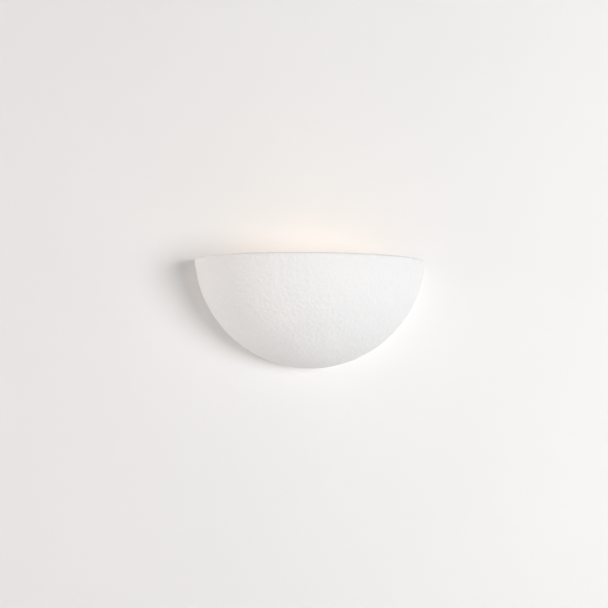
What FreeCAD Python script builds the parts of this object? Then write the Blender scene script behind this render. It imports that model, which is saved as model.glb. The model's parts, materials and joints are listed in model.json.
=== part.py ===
import FreeCAD, Part
import math
import os
from types import SimpleNamespace

import PartDesign
import Sketcher

# Uplighter wall sconce: a half-bowl shade, open at the top, clamped to a folded steel
# wall bracket that also carries the lampholder and its wiring.
#
# Millimetres, +Z up, +X to the right, the wall is the plane Y = 0 and the light stands
# off it towards -Y. The origin is the middle of the bracket's back face, on the line
# of its two wall slots.

SIZES = {
    # shade
    "shade_width": 300.0,       # across the rim
    "shade_height": 140.0,      # rim to the lowest point
    "shade_wall": 7.0,
    "rim_rise": 45.0,           # rim above the wall slots
    "wall_gap": 1.0,            # shade's back edge to the wall
    "rim_round": 3.0,           # outer edge of the rim
    "mouth_round": 2.0,         # inner edge of the rim
    "back_round": 3.0,          # edge towards the wall
    "flange_width": 28.0,       # flat band inside the bowl's back edge
    "flange_depth": 8.0,
    "band_drop": 5.0,           # band's ends below the rim
    "flange_fillet": 5.0,       # between the band and the bowl
    "strap_slack": 1.0,         # recess round the strap
    "stud_hole_slack": 0.75,
    # wall bracket
    "plate_thickness": 1.5,
    "strap_height": 30.0,
    "plate_width": 76.0,
    "plate_rise": 6.0,          # plate's lower edge above the arm's underside
    "plate_corner": 14.0,
    "neck_fillet": 6.0,         # between strap and plate
    "slot_spacing": 120.0,
    "slot_length": 14.0,
    "slot_width": 5.5,
    "arm_clearance": 5.5,       # arm's lips above the shade's back band
    "arm_width": 34.0,
    "arm_nose": 6.0,            # arm beyond the lampholder
    "arm_bend": 2.5,            # inner radius of the fold
    "arm_corner": 9.0,
    "lip_height": 4.5,          # stiffening lips, turned down along the arm's sides
    "lip_start": 10.0,
    "lip_end_gap": 3.0,         # between a lip's end and the arm's round corner
    "lip_round": 3.0,
    # shade fixings
    "stud_inset": 11.5,         # back band's inner edge to a stud's axis
    "stud_diameter": 5.0,
    "stud_reach": 23.0,
    "stud_chamfer": 0.6,
    "cushion_diameter": 16.0,
    "cushion_thickness": 1.0,
    "washer_diameter": 15.0,
    "washer_thickness": 1.0,
    "washer_slack": 0.3,
    "nut_diameter": 16.0,
    "nut_height": 5.0,
    "nut_collar": 10.0,
    "nut_collar_height": 4.0,
    "nut_slack": 0.08,
    "nut_chamfer": 0.6,
    "nut_grips": 12,
    "nut_grip_diameter": 2.4,
    # cable entry
    "bush_offset": 22.0,        # to the left of the middle
    "bush_rise": 30.0,          # above the arm's underside
    "bush_bore": 10.0,
    "bush_hole": 14.0,
    "bush_flange": 18.0,
    "bush_lip": 2.0,
    "bush_bevel": 0.8,
    # lampholder, for a 14 mm screw cap
    "lamp_reach": 58.0,         # wall to the lamp's axis
    "holder_base": 28.0,
    "holder_mouth": 26.0,
    "holder_height": 34.0,
    "holder_belt": 12.0,        # height of the straight foot
    "holder_floor": 9.0,
    "holder_well": 3.0,         # depth of the wide mouth
    "holder_round": 1.5,
    "shell_bore": 14.3,
    "shell_wall": 0.6,
    "shell_lip": 1.2,
    "shell_lip_slack": 0.2,
    "shell_rise": 3.0,          # clear space under the shell
    "contact_width": 5.0,
    "contact_sheet": 0.6,
    "contact_rise": 4.0,
    "contact_foot": 3.0,
    "contact_ramp": 2.0,
    "holder_screw_spacing": 18.0,
    "holder_screw_diameter": 3.0,
    "holder_screw_bite": 6.0,
    "holder_screw_head": 5.6,
    "holder_head_height": 2.2,
    "spring_washer_diameter": 6.2,
    "spring_washer_thickness": 0.8,
    "screw_hole_slack": 0.2,
    "driver_slot": 0.8,
    "driver_slot_depth": 0.9,
    "screw_head_bevel": 0.6,
    # bulb, 45 mm ball on a 14 mm screw cap
    "bulb_length": 75.0,
    "globe_diameter": 45.0,
    "globe_mouth": 33.6,        # across the globe where it stands on the collar
    "globe_wall": 1.2,
    "cap_diameter": 13.9,
    "cap_height": 19.0,
    "tip_height": 1.5,
    "tip_diameter": 6.0,
    "tip_gap": 0.1,             # bulb's contact above the spring contact
    "insulator_height": 3.0,
    "insulator_diameter": 11.0,
    "insulator_ledge": 0.6,
    "collar_foot": 16.4,
    "collar_belt": 3.0,
    "collar_curve": 16.0,
    "board_diameter": 25.0,
    "board_thickness": 1.6,
    "chip_size": 2.8,
    "chip_height": 0.7,
    "chip_circle": 16.0,
    "chip_count": 8,
    # terminal block
    "block_offset": 10.0,       # to the right of the middle
    "block_rise": 26.0,         # above the arm's underside
    "block_length": 17.0,
    "pole_pitch": 10.0,
    "pole_width": 7.4,
    "pole_height": 9.0,
    "web_height": 4.0,
    "web_inset": 3.0,
    "tower_diameter": 6.0,
    "tower_height": 14.0,
    "tower_spacing": 8.4,
    "tunnel_height": 5.2,       # middle of the wire tunnel above the plate
    "insert_diameter": 4.4,
    "insert_bore": 3.2,
    "insert_length": 14.0,
    "clamp_screw_diameter": 2.6,
    "clamp_head_diameter": 3.8,
    "clamp_head_height": 2.0,
    "clamp_screw_sink": 1.0,
    "clamp_shaft_slack": 0.1,
    "clamp_tip_gap": 0.2,
    "fixing_screw_diameter": 2.4,
    "fixing_screw_head": 3.8,
    "fixing_head_height": 1.4,
    # earth point
    "earth_offset": 27.0,       # to the left of the middle
    "earth_rise": 12.0,         # above the arm's underside
    "earth_screw_diameter": 4.0,
    "earth_head_diameter": 7.6,
    "earth_head_height": 2.4,
    "earth_washer_diameter": 8.0,
    "earth_washer_thickness": 0.5,
    "ring_diameter": 8.4,
    "ring_thickness": 0.8,
    "ring_neck": 3.0,
    "ring_barrel": 3.4,
    "ring_barrel_length": 5.0,
    # leads
    "lead_diameter": 2.4,
    "lead_in_block": 4.0,
    "lead_in_holder": 5.0,
    "lead_straight": 8.0,       # straight run in front of a lead's far end
    "lead_hole_slack": 0.25,
    "lead_hole_spare": 2.0,     # hole beyond the lead's end
    "lead_hole_spacing": 9.0,
    "lead_rise": 5.5,           # leads above the arm where they enter the holder
}

V = FreeCAD.Vector
doc = FreeCAD.newDocument("uplighter")
sheet = doc.addObject("Spreadsheet::Sheet", "Sizes")
FULL_TURN = 360
HALF_TURN = 180
OVERLAP = 1.0                   # how far one feature starts inside the one it joins
TOLERANCE = 0.01
SIDES = (-1, 1)
POLES = (-1, 0, 1)              # of the terminal block: earth, neutral, live
CHAMFER = "PartDesign::Chamfer"
LEAD_ARC_SHARE = 0.45           # of the shorter run beside a bend


class Size:
    """A length in mm: its number, and the sheet expression that gives the same number."""

    def __init__(self, value, text):
        self.value = value
        self.text = text

    def __add__(self, other):
        other = as_size(other)
        return Size(self.value + other.value, f"({self.text} + {other.text})")

    def __sub__(self, other):
        other = as_size(other)
        return Size(self.value - other.value, f"({self.text} - {other.text})")

    def __mul__(self, other):
        other = as_size(other)
        return Size(self.value * other.value, f"({self.text} * {other.text})")

    def __truediv__(self, other):
        other = as_size(other)
        return Size(self.value / other.value, f"({self.text} / {other.text})")

    def __radd__(self, other):
        return as_size(other) + self

    def __rsub__(self, other):
        return as_size(other) - self

    def __neg__(self):
        return as_size(0) - self


def as_size(number):
    return number if isinstance(number, Size) else Size(float(number), f"{float(number):.6f}")


def root(square):
    return Size(math.sqrt(square.value), f"sqrt({square.text})")


def side_of(hypotenuse, other):
    """The other short side of a right triangle."""
    return root(hypotenuse * hypotenuse - other * other)


def fill_sheet():
    for row, (name, value) in enumerate(SIZES.items(), start=1):
        sheet.set(f"A{row}", name)
        sheet.set(f"B{row}", str(value))
        sheet.setAlias(f"B{row}", name)
    doc.recompute()
    return SimpleNamespace(**{name: Size(value, "Sizes." + name) for name, value in SIZES.items()})


mm = fill_sheet()

# Places that several pieces share, worked out from the sheet.
shade_half = mm.shade_width / 2
bowl_radius = (shade_half * shade_half + mm.shade_height * mm.shade_height) / (mm.shade_height * 2)
bowl_lift = bowl_radius - mm.shade_height               # ball's centre above the rim
bowl_centre = mm.rim_rise + bowl_lift
bowl_inside = bowl_radius - mm.shade_wall
window_radius = bowl_inside - mm.flange_width
flange_front = mm.wall_gap + mm.flange_depth            # from the wall
stud_half = side_of(window_radius + mm.stud_inset, bowl_centre)
seat = mm.plate_thickness + mm.cushion_thickness        # where the shade is clamped, from the wall
nut_start = flange_front + mm.washer_thickness
arm_drop = window_radius - bowl_centre - mm.arm_clearance - mm.lip_height   # below the slot line
arm_top = mm.plate_thickness - arm_drop
arm_reach = mm.lamp_reach + mm.holder_base / 2 + mm.arm_nose
plate_low = mm.plate_rise - arm_drop
bush_height = mm.bush_rise - arm_drop                   # from the slot line, as the next two
block_height = mm.block_rise - arm_drop
earth_height = mm.earth_rise - arm_drop
tip_start = mm.holder_floor + mm.contact_rise + mm.tip_gap
cap_start = tip_start + mm.tip_height + mm.insulator_height
cap_end = cap_start + mm.cap_height
bulb_end = tip_start + mm.bulb_length
globe_centre = bulb_end - mm.globe_diameter / 2
globe_foot = mm.globe_mouth / 2
collar_end = globe_centre - side_of(mm.globe_diameter / 2, globe_foot)
lead_level = arm_top + mm.lead_rise
block_front = mm.plate_thickness + mm.tunnel_height     # wire tunnels, from the wall
earth_seat = mm.plate_thickness + mm.earth_washer_thickness
barrel_depth = earth_seat + mm.ring_barrel / 2
shell_outside = mm.shell_bore / 2 + mm.shell_wall


class Drawing:
    """A sketch on one of a body's own planes; every point is placed from the sheet."""

    def __init__(self, body, name, plane, offset=None):
        self.sketch = body.newObject("Sketcher::SketchObject", name)
        origin = next(item for item in body.Origin.OriginFeatures if item.Role == plane)
        self.sketch.AttachmentSupport = [(origin, "")]
        self.sketch.MapMode = "FlatFace"
        if offset is not None:
            self.sketch.AttachmentOffset = FreeCAD.Placement(V(0, 0, offset.value), FreeCAD.Rotation())
            self.sketch.setExpression("AttachmentOffset.Base.z", offset.text)

    def fix(self, kind, *where, size):
        number = self.sketch.addConstraint(Sketcher.Constraint(kind, *where, size.value))
        self.sketch.setExpression(f"Constraints[{number}]", size.text)

    def place(self, shape, point, x, y):
        for kind, axis, value in (("DistanceX", -2, x), ("DistanceY", -1, y)):
            if value is None:
                self.sketch.addConstraint(Sketcher.Constraint("PointOnObject", shape, point, axis))
            else:
                self.fix(kind, -1, 1, shape, point, size=as_size(value))

    def circle(self, x, y, diameter):
        radius = as_size(diameter) / 2
        centre = V(number_of(x), number_of(y), 0)
        shape = self.sketch.addGeometry(Part.Circle(centre, V(0, 0, 1), radius.value))
        self.place(shape, 3, x, y)
        self.fix("Radius", shape, size=radius)
        return self

    def outline(self, corners):
        """A closed line through corners (x, y) or (x, y, radius): a radius makes the stretch
        to the next corner an arc, turning left where it is positive and right where negative."""
        ends = []
        for start, stop in zip(corners, corners[1:] + corners[:1]):
            first = V(number_of(start[0]), number_of(start[1]), 0)
            last = V(number_of(stop[0]), number_of(stop[1]), 0)
            if len(start) == 2:
                shape = self.sketch.addGeometry(Part.LineSegment(first, last))
                ends.append((shape, 1, 2))
                continue
            radius = as_size(start[2])
            left_turn = radius.value > 0
            curve = arc_between(first, last, radius.value)
            shape = self.sketch.addGeometry(curve)
            self.fix("Radius", shape, size=radius if left_turn else -radius)
            ends.append((shape, 1, 2) if left_turn else (shape, 2, 1))
        for (shape, first, _), (x, y, *_) in zip(ends, corners):
            self.place(shape, first, x, y)
        for (shape, _, last), (after, first, _) in zip(ends, ends[1:] + ends[:1]):
            self.sketch.addConstraint(Sketcher.Constraint("Coincident", shape, last, after, first))
        return self

    def rectangle(self, low_x, low_y, high_x, high_y):
        return self.outline([(low_x, low_y), (high_x, low_y), (high_x, high_y), (low_x, high_y)])

    def slot(self, low_x, high_x, y, width):
        """A level slot: two round ends about (low_x, y) and (high_x, y)."""
        half = as_size(width) / 2
        quarter = math.pi / 2
        level = number_of(y)
        right = Part.Circle(V(number_of(high_x), level, 0), V(0, 0, 1), half.value)
        left = Part.Circle(V(number_of(low_x), level, 0), V(0, 0, 1), half.value)
        right = self.sketch.addGeometry(Part.ArcOfCircle(right, -quarter, quarter))
        left = self.sketch.addGeometry(Part.ArcOfCircle(left, quarter, 3 * quarter))
        lines = []
        for side, first, last in ((1, high_x, low_x), (-1, low_x, high_x)):
            edge = level + side * half.value
            line = Part.LineSegment(V(number_of(first), edge, 0), V(number_of(last), edge, 0))
            lines.append(self.sketch.addGeometry(line))
        top, bottom = lines
        for one, first, other, second in ((right, 2, top, 1), (top, 2, left, 1),
                                          (left, 2, bottom, 1), (bottom, 2, right, 1)):
            self.sketch.addConstraint(Sketcher.Constraint("Tangent", one, first, other, second))
        self.place(right, 3, high_x, y)
        self.place(left, 3, low_x, y)
        self.fix("Radius", right, size=half)
        return self


def number_of(value):
    return 0.0 if value is None else as_size(value).value


def arc_between(first, last, radius):
    """The short arc from first to last; a positive radius turns left, a negative one right."""
    chord = last - first
    across = V(-chord.y, chord.x, 0).normalize()
    rise = math.sqrt(max(radius * radius - (chord.Length / 2) ** 2, 0.0))
    centre = (first + last) / 2 + across * math.copysign(rise, radius)
    start, stop = (first, last) if radius > 0 else (last, first)
    begin = math.atan2(start.y - centre.y, start.x - centre.x)
    finish = math.atan2(stop.y - centre.y, stop.x - centre.x)
    if finish < begin:
        finish += 2 * math.pi
    return Part.ArcOfCircle(Part.Circle(centre, V(0, 0, 1), abs(radius)), begin, finish)


def new_body(name, x=None, y=None, z=None):
    body = doc.addObject("PartDesign::Body", name)
    body.Label = name
    body.Placement = FreeCAD.Placement(V(number_of(x), number_of(y), number_of(z)), FreeCAD.Rotation())
    for axis, value in (("x", x), ("y", y), ("z", z)):
        if value is not None:
            body.setExpression("Placement.Base." + axis, as_size(value).text)
    return body


def bind(feature, name, size):
    size = as_size(size)
    setattr(feature, name, size.value)
    feature.setExpression(name, size.text)


def pad(body, drawing, length, both_ways=False):
    """Thickens a drawing along its plane's normal: away from the wall on XZ, up on XY."""
    feature = body.newObject("PartDesign::Pad", drawing.sketch.Name + "_pad")
    feature.Profile = drawing.sketch
    bind(feature, "Length", length)
    feature.Midplane = both_ways
    doc.recompute()
    return feature


def cut(body, drawing, depth, both_ways=False):
    """Cuts a drawing along its plane's normal."""
    feature = body.newObject("PartDesign::Pocket", drawing.sketch.Name + "_cut")
    feature.Profile = drawing.sketch
    bind(feature, "Length", depth)
    feature.Reversed = not both_ways
    feature.Midplane = both_ways
    doc.recompute()
    return feature


def turn(body, drawing, angle=FULL_TURN, backwards=False, kind="PartDesign::Revolution"):
    """Turns a drawing about its own vertical axis."""
    feature = body.newObject(kind, drawing.sketch.Name + "_turned")
    feature.Profile = drawing.sketch
    feature.ReferenceAxis = (drawing.sketch, ["V_Axis"])
    feature.Angle = angle
    feature.Reversed = backwards
    doc.recompute()
    return feature


def soften(body, name, size, chosen, kind="PartDesign::Fillet"):
    """Rounds or bevels the edges of the body's last feature that chosen accepts."""
    base = body.Tip
    names = [f"Edge{number}" for number, edge in enumerate(base.Shape.Edges, start=1) if chosen(edge)]
    feature = body.newObject(kind, name)
    feature.Base = (base, names)
    bind(feature, "Radius" if kind.endswith("Fillet") else "Size", size)
    doc.recompute()
    return feature


def near(value, size):
    return abs(value - as_size(size).value) < TOLERANCE


def spans(edge, **limits):
    """Whether every named limit of the edge's box, such as YMin, has the given size."""
    return all(near(getattr(edge.BoundBox, name), size) for name, size in limits.items())


def is_ring(edge, diameter):
    return isinstance(edge.Curve, Part.Circle) and near(edge.Curve.Radius, as_size(diameter) / 2)


def turns(count):
    """Angles that share a full turn evenly."""
    return [2 * math.pi * step / count for step in range(int(count))]


def corner_centre(ball, radius, level):
    """How far from the axis a corner round lies: its circle touches the ball's circle from
    inside (a negative radius: from outside) and the plane that is level from the ball's centre."""
    return side_of(ball - radius, level)


def make_shade():
    """The half-bowl: a ball's cap as a shell, with a flat band inside its back edge."""
    body = new_body("shade", y=-mm.wall_gap)
    rim = mm.rim_rise
    foot = rim - mm.shade_height

    # The band: turned about the line through the ball's centre that is square to the wall.
    meeting = mm.flange_depth + mm.flange_fillet
    fillet_centre = corner_centre(bowl_inside, mm.flange_fillet, meeting)
    reach = bowl_inside / (bowl_inside - mm.flange_fillet)
    band_outside = bowl_radius - mm.shade_wall / 2
    band = Drawing(body, "back_band", "XY_Plane", bowl_centre).outline([
        (window_radius, -mm.flange_depth),
        (fillet_centre, -mm.flange_depth, -mm.flange_fillet),
        (fillet_centre * reach, -meeting * reach),
        (side_of(band_outside, meeting * reach), -meeting * reach, band_outside),
        (band_outside, None),
        (window_radius, None)])
    turn(body, band)
    above = Drawing(body, "above_band", "XY_Plane", rim - mm.band_drop)
    above.rectangle(-bowl_radius, -bowl_radius, bowl_radius, bowl_radius)
    cut(body, above, bowl_radius * 2)

    # The shell: turned half round about the upright line through the ball's centre.
    outer_centre = corner_centre(bowl_radius, mm.rim_round, bowl_lift + mm.rim_round)
    outer_reach = bowl_radius / (bowl_radius - mm.rim_round)
    inner_centre = corner_centre(bowl_inside, -mm.mouth_round, bowl_lift + mm.mouth_round)
    inner_reach = bowl_inside / (bowl_inside + mm.mouth_round)
    shell = Drawing(body, "bowl_section", "XZ_Plane").outline([
        (None, foot, bowl_radius),
        (outer_centre * outer_reach, bowl_centre - (bowl_lift + mm.rim_round) * outer_reach, mm.rim_round),
        (outer_centre, rim),
        (inner_centre, rim, mm.mouth_round),
        (inner_centre * inner_reach, bowl_centre - (bowl_lift + mm.mouth_round) * inner_reach, -bowl_inside),
        (None, foot + mm.shade_wall)])
    turn(body, shell, HALF_TURN, backwards=True)

    # The round of the back edge, cut away about the band's own line.
    back_centre = corner_centre(bowl_radius, mm.back_round, mm.back_round)
    back_reach = bowl_radius / (bowl_radius - mm.back_round)
    beyond = bowl_radius + OVERLAP
    back = Drawing(body, "back_round", "XY_Plane", bowl_centre).outline([
        (back_centre * back_reach, -mm.back_round * back_reach),
        (beyond, -mm.back_round * back_reach),
        (beyond, OVERLAP),
        (back_centre, OVERLAP),
        (back_centre, None, -mm.back_round)])
    turn(body, back, kind="PartDesign::Groove")

    recess = Drawing(body, "strap_recess", "XZ_Plane").slot(
        -stud_half, stud_half, None, mm.strap_height + mm.strap_slack * 2)
    cut(body, recess, seat - mm.wall_gap)
    holes = Drawing(body, "stud_holes", "XZ_Plane")
    for side in SIDES:
        holes.circle(stud_half * side, None, mm.stud_diameter + mm.stud_hole_slack * 2)
    cut(body, holes, mm.flange_depth)
    return body


def make_wall_bracket():
    """One folded sheet: a strap with round ends, a plate below it and an arm folded forwards."""
    body = new_body("wall_bracket")
    thick = mm.plate_thickness
    strap = Drawing(body, "strap", "XZ_Plane").slot(-stud_half, stud_half, None, mm.strap_height)
    pad(body, strap, thick)
    half = mm.plate_width / 2
    corner = mm.plate_corner
    low = plate_low
    plate = Drawing(body, "plate", "XZ_Plane").outline([
        (-half, None),
        (-half, low + corner, corner),
        (-half + corner, low),
        (half - corner, low, corner),
        (half, low + corner),
        (half, None)])
    pad(body, plate, thick)
    under_strap = -mm.strap_height / 2
    soften(body, "neck_fillet", mm.neck_fillet, lambda edge: spans(edge, ZMin=under_strap, ZMax=under_strap)
           and (spans(edge, XMin=half, XMax=half) or spans(edge, XMin=-half, XMax=-half)))
    fold = mm.arm_bend + thick
    arm = Drawing(body, "arm", "YZ_Plane").outline([
        (None, low + OVERLAP),
        (None, fold - arm_drop, -fold),
        (-fold, -arm_drop),
        (-arm_reach, -arm_drop),
        (-arm_reach, arm_top),
        (-fold, arm_top, mm.arm_bend),
        (-thick, arm_top + mm.arm_bend),
        (-thick, low + OVERLAP)])
    pad(body, arm, mm.arm_width, both_ways=True)
    arm_half = mm.arm_width / 2
    soften(body, "arm_corners", mm.arm_corner, lambda edge: spans(
        edge, YMin=-arm_reach, YMax=-arm_reach, ZMin=-arm_drop, ZMax=arm_top))
    lips = Drawing(body, "lips", "XZ_Plane", mm.lip_start)
    lip_low = -arm_drop - mm.lip_height
    for inner, outer in ((arm_half - thick, arm_half), (-arm_half, thick - arm_half)):
        lips.rectangle(inner, lip_low, outer, arm_top - thick / 2)
    pad(body, lips, arm_reach - mm.arm_corner - mm.lip_end_gap - mm.lip_start)
    soften(body, "lip_round", mm.lip_round, lambda edge: spans(edge, ZMin=lip_low, ZMax=lip_low)
           and near(edge.BoundBox.YLength, 0))
    slots = Drawing(body, "wall_slots", "XZ_Plane")
    run = (mm.slot_length - mm.slot_width) / 2
    for side in SIDES:
        middle = mm.slot_spacing / 2 * side
        slots.slot(middle - run, middle + run, None, mm.slot_width)
    cut(body, slots, thick)
    holes = Drawing(body, "plate_holes", "XZ_Plane")
    holes.circle(-mm.bush_offset, bush_height, mm.bush_hole)
    holes.circle(-mm.earth_offset, earth_height, mm.earth_screw_diameter)
    for side in SIDES:
        holes.circle(stud_half * side, None, mm.stud_diameter)
        holes.circle(mm.block_offset + mm.pole_pitch / 2 * side, block_height, mm.fixing_screw_diameter)
    cut(body, holes, thick)
    arm_holes = Drawing(body, "arm_holes", "XY_Plane", -arm_drop)
    for side in SIDES:
        arm_holes.circle(mm.holder_screw_spacing / 2 * side, -mm.lamp_reach,
                         mm.holder_screw_diameter + mm.screw_hole_slack * 2)
    cut(body, arm_holes, thick)
    return body


def make_shade_studs():
    """Two studs pressed into the strap, flush with its back."""
    body = new_body("shade_studs")
    ends = Drawing(body, "studs", "XZ_Plane")
    for side in SIDES:
        ends.circle(stud_half * side, None, mm.stud_diameter)
    pad(body, ends, mm.stud_reach)
    soften(body, "stud_tips", mm.stud_chamfer,
           lambda edge: spans(edge, YMin=-mm.stud_reach, YMax=-mm.stud_reach), CHAMFER)
    return body


def stud_rings(body, name, start, outer, slack, length):
    """A ring round each stud, from start outwards."""
    rings = Drawing(body, name, "XZ_Plane", start)
    for side in SIDES:
        rings.circle(stud_half * side, None, outer)
        rings.circle(stud_half * side, None, mm.stud_diameter + slack * 2)
    return pad(body, rings, length)


def make_cushion_washers():
    body = new_body("cushion_washers")
    stud_rings(body, "cushions", mm.plate_thickness, mm.cushion_diameter, mm.washer_slack,
               mm.cushion_thickness)
    return body


def make_nut_washers():
    body = new_body("nut_washers")
    stud_rings(body, "washers", flange_front, mm.washer_diameter, mm.washer_slack, mm.washer_thickness)
    return body


def make_thumb_nuts():
    """Two thumb nuts: a plain collar, and a head with grip notches round its edge."""
    body = new_body("thumb_nuts")
    stud_rings(body, "collars", nut_start, mm.nut_collar, mm.nut_slack, mm.nut_collar_height)
    head_start = nut_start + mm.nut_collar_height
    stud_rings(body, "heads", head_start, mm.nut_diameter, mm.nut_slack, mm.nut_height)
    soften(body, "head_bevels", mm.nut_chamfer, lambda edge: is_ring(edge, mm.nut_diameter), CHAMFER)
    grips = Drawing(body, "grips", "XZ_Plane", head_start)
    for side in SIDES:
        for turned in turns(SIZES["nut_grips"]):
            grips.circle(stud_half * side + mm.nut_diameter / 2 * math.cos(turned),
                         mm.nut_diameter / 2 * math.sin(turned), mm.nut_grip_diameter)
    cut(body, grips, mm.nut_height)
    return body


def make_cable_bush():
    """A bush lining the plate's cable hole, flush at the back, with a lip in front."""
    body = new_body("cable_bush", x=-mm.bush_offset, z=bush_height)
    shank = Drawing(body, "shank", "XZ_Plane")
    shank.circle(None, None, mm.bush_hole).circle(None, None, mm.bush_bore)
    pad(body, shank, mm.plate_thickness)
    lip = Drawing(body, "lip", "XZ_Plane", mm.plate_thickness)
    lip.circle(None, None, mm.bush_flange).circle(None, None, mm.bush_bore)
    pad(body, lip, mm.bush_lip)
    front = -(mm.plate_thickness + mm.bush_lip)
    soften(body, "lip_bevel", mm.bush_bevel,
           lambda edge: spans(edge, YMin=front, YMax=front) and is_ring(edge, mm.bush_flange), CHAMFER)
    return body


def lamp_body(name):
    """A body whose own Z axis is the lamp's axis, from the arm's upper face."""
    return new_body(name, y=-mm.lamp_reach, z=arm_top)


def make_lampholder_body():
    """The porcelain body: a straight foot, a tapered barrel and a deep well for the shell."""
    body = lamp_body("lampholder_body")
    top = mm.holder_height
    section = Drawing(body, "section", "XZ_Plane").outline([
        (None, None),
        (mm.holder_base / 2, None),
        (mm.holder_base / 2, mm.holder_belt),
        (mm.holder_mouth / 2, top),
        (shell_outside + mm.shell_lip + mm.shell_lip_slack, top),
        (shell_outside + mm.shell_lip + mm.shell_lip_slack, top - mm.holder_well),
        (shell_outside, top - mm.holder_well),
        (shell_outside, mm.holder_floor),
        (None, mm.holder_floor)])
    turn(body, section)
    soften(body, "mouth_round", mm.holder_round,
           lambda edge: spans(edge, ZMin=top, ZMax=top) and is_ring(edge, mm.holder_mouth))
    leads = Drawing(body, "lead_holes", "XZ_Plane", -mm.holder_base / 2)
    screws = Drawing(body, "screw_holes", "XY_Plane")
    for side in SIDES:
        leads.circle(mm.lead_hole_spacing / 2 * side, mm.lead_rise, mm.lead_diameter + mm.lead_hole_slack * 2)
        screws.circle(mm.holder_screw_spacing / 2 * side, None, mm.holder_screw_diameter)
    cut(body, leads, mm.lead_in_holder + mm.lead_hole_spare)
    cut(body, screws, mm.holder_screw_bite)
    return body


def make_lampholder_shell():
    """The brass screw shell: a thin tube with a lip that rests in the mouth of the well."""
    body = lamp_body("lampholder_shell")
    step = mm.holder_height - mm.holder_well
    low = mm.holder_floor + mm.shell_rise
    section = Drawing(body, "section", "XZ_Plane").outline([
        (mm.shell_bore / 2, low),
        (shell_outside, low),
        (shell_outside, step),
        (shell_outside + mm.shell_lip, step),
        (shell_outside + mm.shell_lip, step + mm.shell_wall),
        (mm.shell_bore / 2, step + mm.shell_wall)])
    turn(body, section)
    return body


def make_lampholder_contact():
    """The sprung tongue under the bulb: a strip with a foot, a ramp and a level tip."""
    body = lamp_body("lampholder_contact")
    floor = mm.holder_floor
    peak = floor + mm.contact_rise
    sheet_metal = mm.contact_sheet
    ramp = mm.contact_foot - mm.contact_ramp
    strip = Drawing(body, "strip", "XZ_Plane").outline([
        (-mm.contact_foot * 2, floor),
        (-mm.contact_foot, floor),
        (-ramp, peak - sheet_metal),
        (mm.contact_foot, peak - sheet_metal),
        (mm.contact_foot, peak),
        (-ramp - sheet_metal / 2, peak),
        (-mm.contact_foot - sheet_metal / 2, floor + sheet_metal),
        (-mm.contact_foot * 2, floor + sheet_metal)])
    pad(body, strip, mm.contact_width, both_ways=True)
    return body


def arm_screw_places(drawing, diameter):
    for side in SIDES:
        drawing.circle(mm.holder_screw_spacing / 2 * side, -mm.lamp_reach, diameter)
    return drawing


def make_lampholder_washers():
    body = new_body("lampholder_washers", z=-arm_drop)
    rings = Drawing(body, "rings", "XY_Plane", -mm.spring_washer_thickness)
    arm_screw_places(rings, mm.spring_washer_diameter)
    arm_screw_places(rings, mm.holder_screw_diameter + mm.screw_hole_slack * 2)
    pad(body, rings, mm.spring_washer_thickness)
    return body


def make_lampholder_screws():
    """Two screws from under the arm up into the lampholder's foot."""
    body = new_body("lampholder_screws", z=-arm_drop)
    neck = -mm.spring_washer_thickness
    under = neck - mm.holder_head_height
    heads = arm_screw_places(Drawing(body, "heads", "XY_Plane", under), mm.holder_screw_head)
    pad(body, heads, mm.holder_head_height)
    soften(body, "head_bevel", mm.screw_head_bevel, lambda edge: spans(edge, ZMin=under, ZMax=under), CHAMFER)
    shanks = arm_screw_places(Drawing(body, "shanks", "XY_Plane", neck), mm.holder_screw_diameter)
    pad(body, shanks, mm.spring_washer_thickness + mm.plate_thickness + mm.holder_screw_bite)
    slots = Drawing(body, "driver_slots", "XY_Plane", under)
    for side in SIDES:
        middle = mm.holder_screw_spacing / 2 * side
        slots.rectangle(middle - mm.holder_screw_head / 2, -mm.lamp_reach - mm.driver_slot / 2,
                        middle + mm.holder_screw_head / 2, -mm.lamp_reach + mm.driver_slot / 2)
    cut(body, slots, mm.driver_slot_depth)
    return body


def make_bulb_contact():
    body = lamp_body("bulb_contact")
    half = mm.tip_diameter / 2
    dome = (half * half + mm.tip_height * mm.tip_height) / (mm.tip_height * 2)
    section = Drawing(body, "section", "XZ_Plane").outline([
        (None, tip_start, dome),
        (half, tip_start + mm.tip_height),
        (None, tip_start + mm.tip_height)])
    turn(body, section)
    return body


def make_bulb_insulator():
    body = lamp_body("bulb_insulator")
    section = Drawing(body, "section", "XZ_Plane").outline([
        (None, tip_start + mm.tip_height),
        (mm.tip_diameter / 2 + mm.insulator_ledge, tip_start + mm.tip_height),
        (mm.insulator_diameter / 2, cap_start),
        (None, cap_start)])
    turn(body, section)
    return body


def make_bulb_cap():
    body = lamp_body("bulb_cap")
    shoulder = (mm.cap_diameter - mm.insulator_diameter) / 2
    section = Drawing(body, "section", "XZ_Plane").outline([
        (None, cap_start),
        (mm.insulator_diameter / 2, cap_start),
        (mm.cap_diameter / 2, cap_start + shoulder),
        (mm.cap_diameter / 2, cap_end),
        (None, cap_end)])
    turn(body, section)
    return body


def make_bulb_collar():
    """The flared foot of the bulb, which swells from the cap to the globe."""
    body = lamp_body("bulb_collar")
    section = Drawing(body, "section", "XZ_Plane").outline([
        (None, cap_end),
        (mm.collar_foot / 2, cap_end),
        (mm.collar_foot / 2, cap_end + mm.collar_belt, -mm.collar_curve),
        (globe_foot, collar_end),
        (None, collar_end)])
    turn(body, section)
    return body


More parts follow.
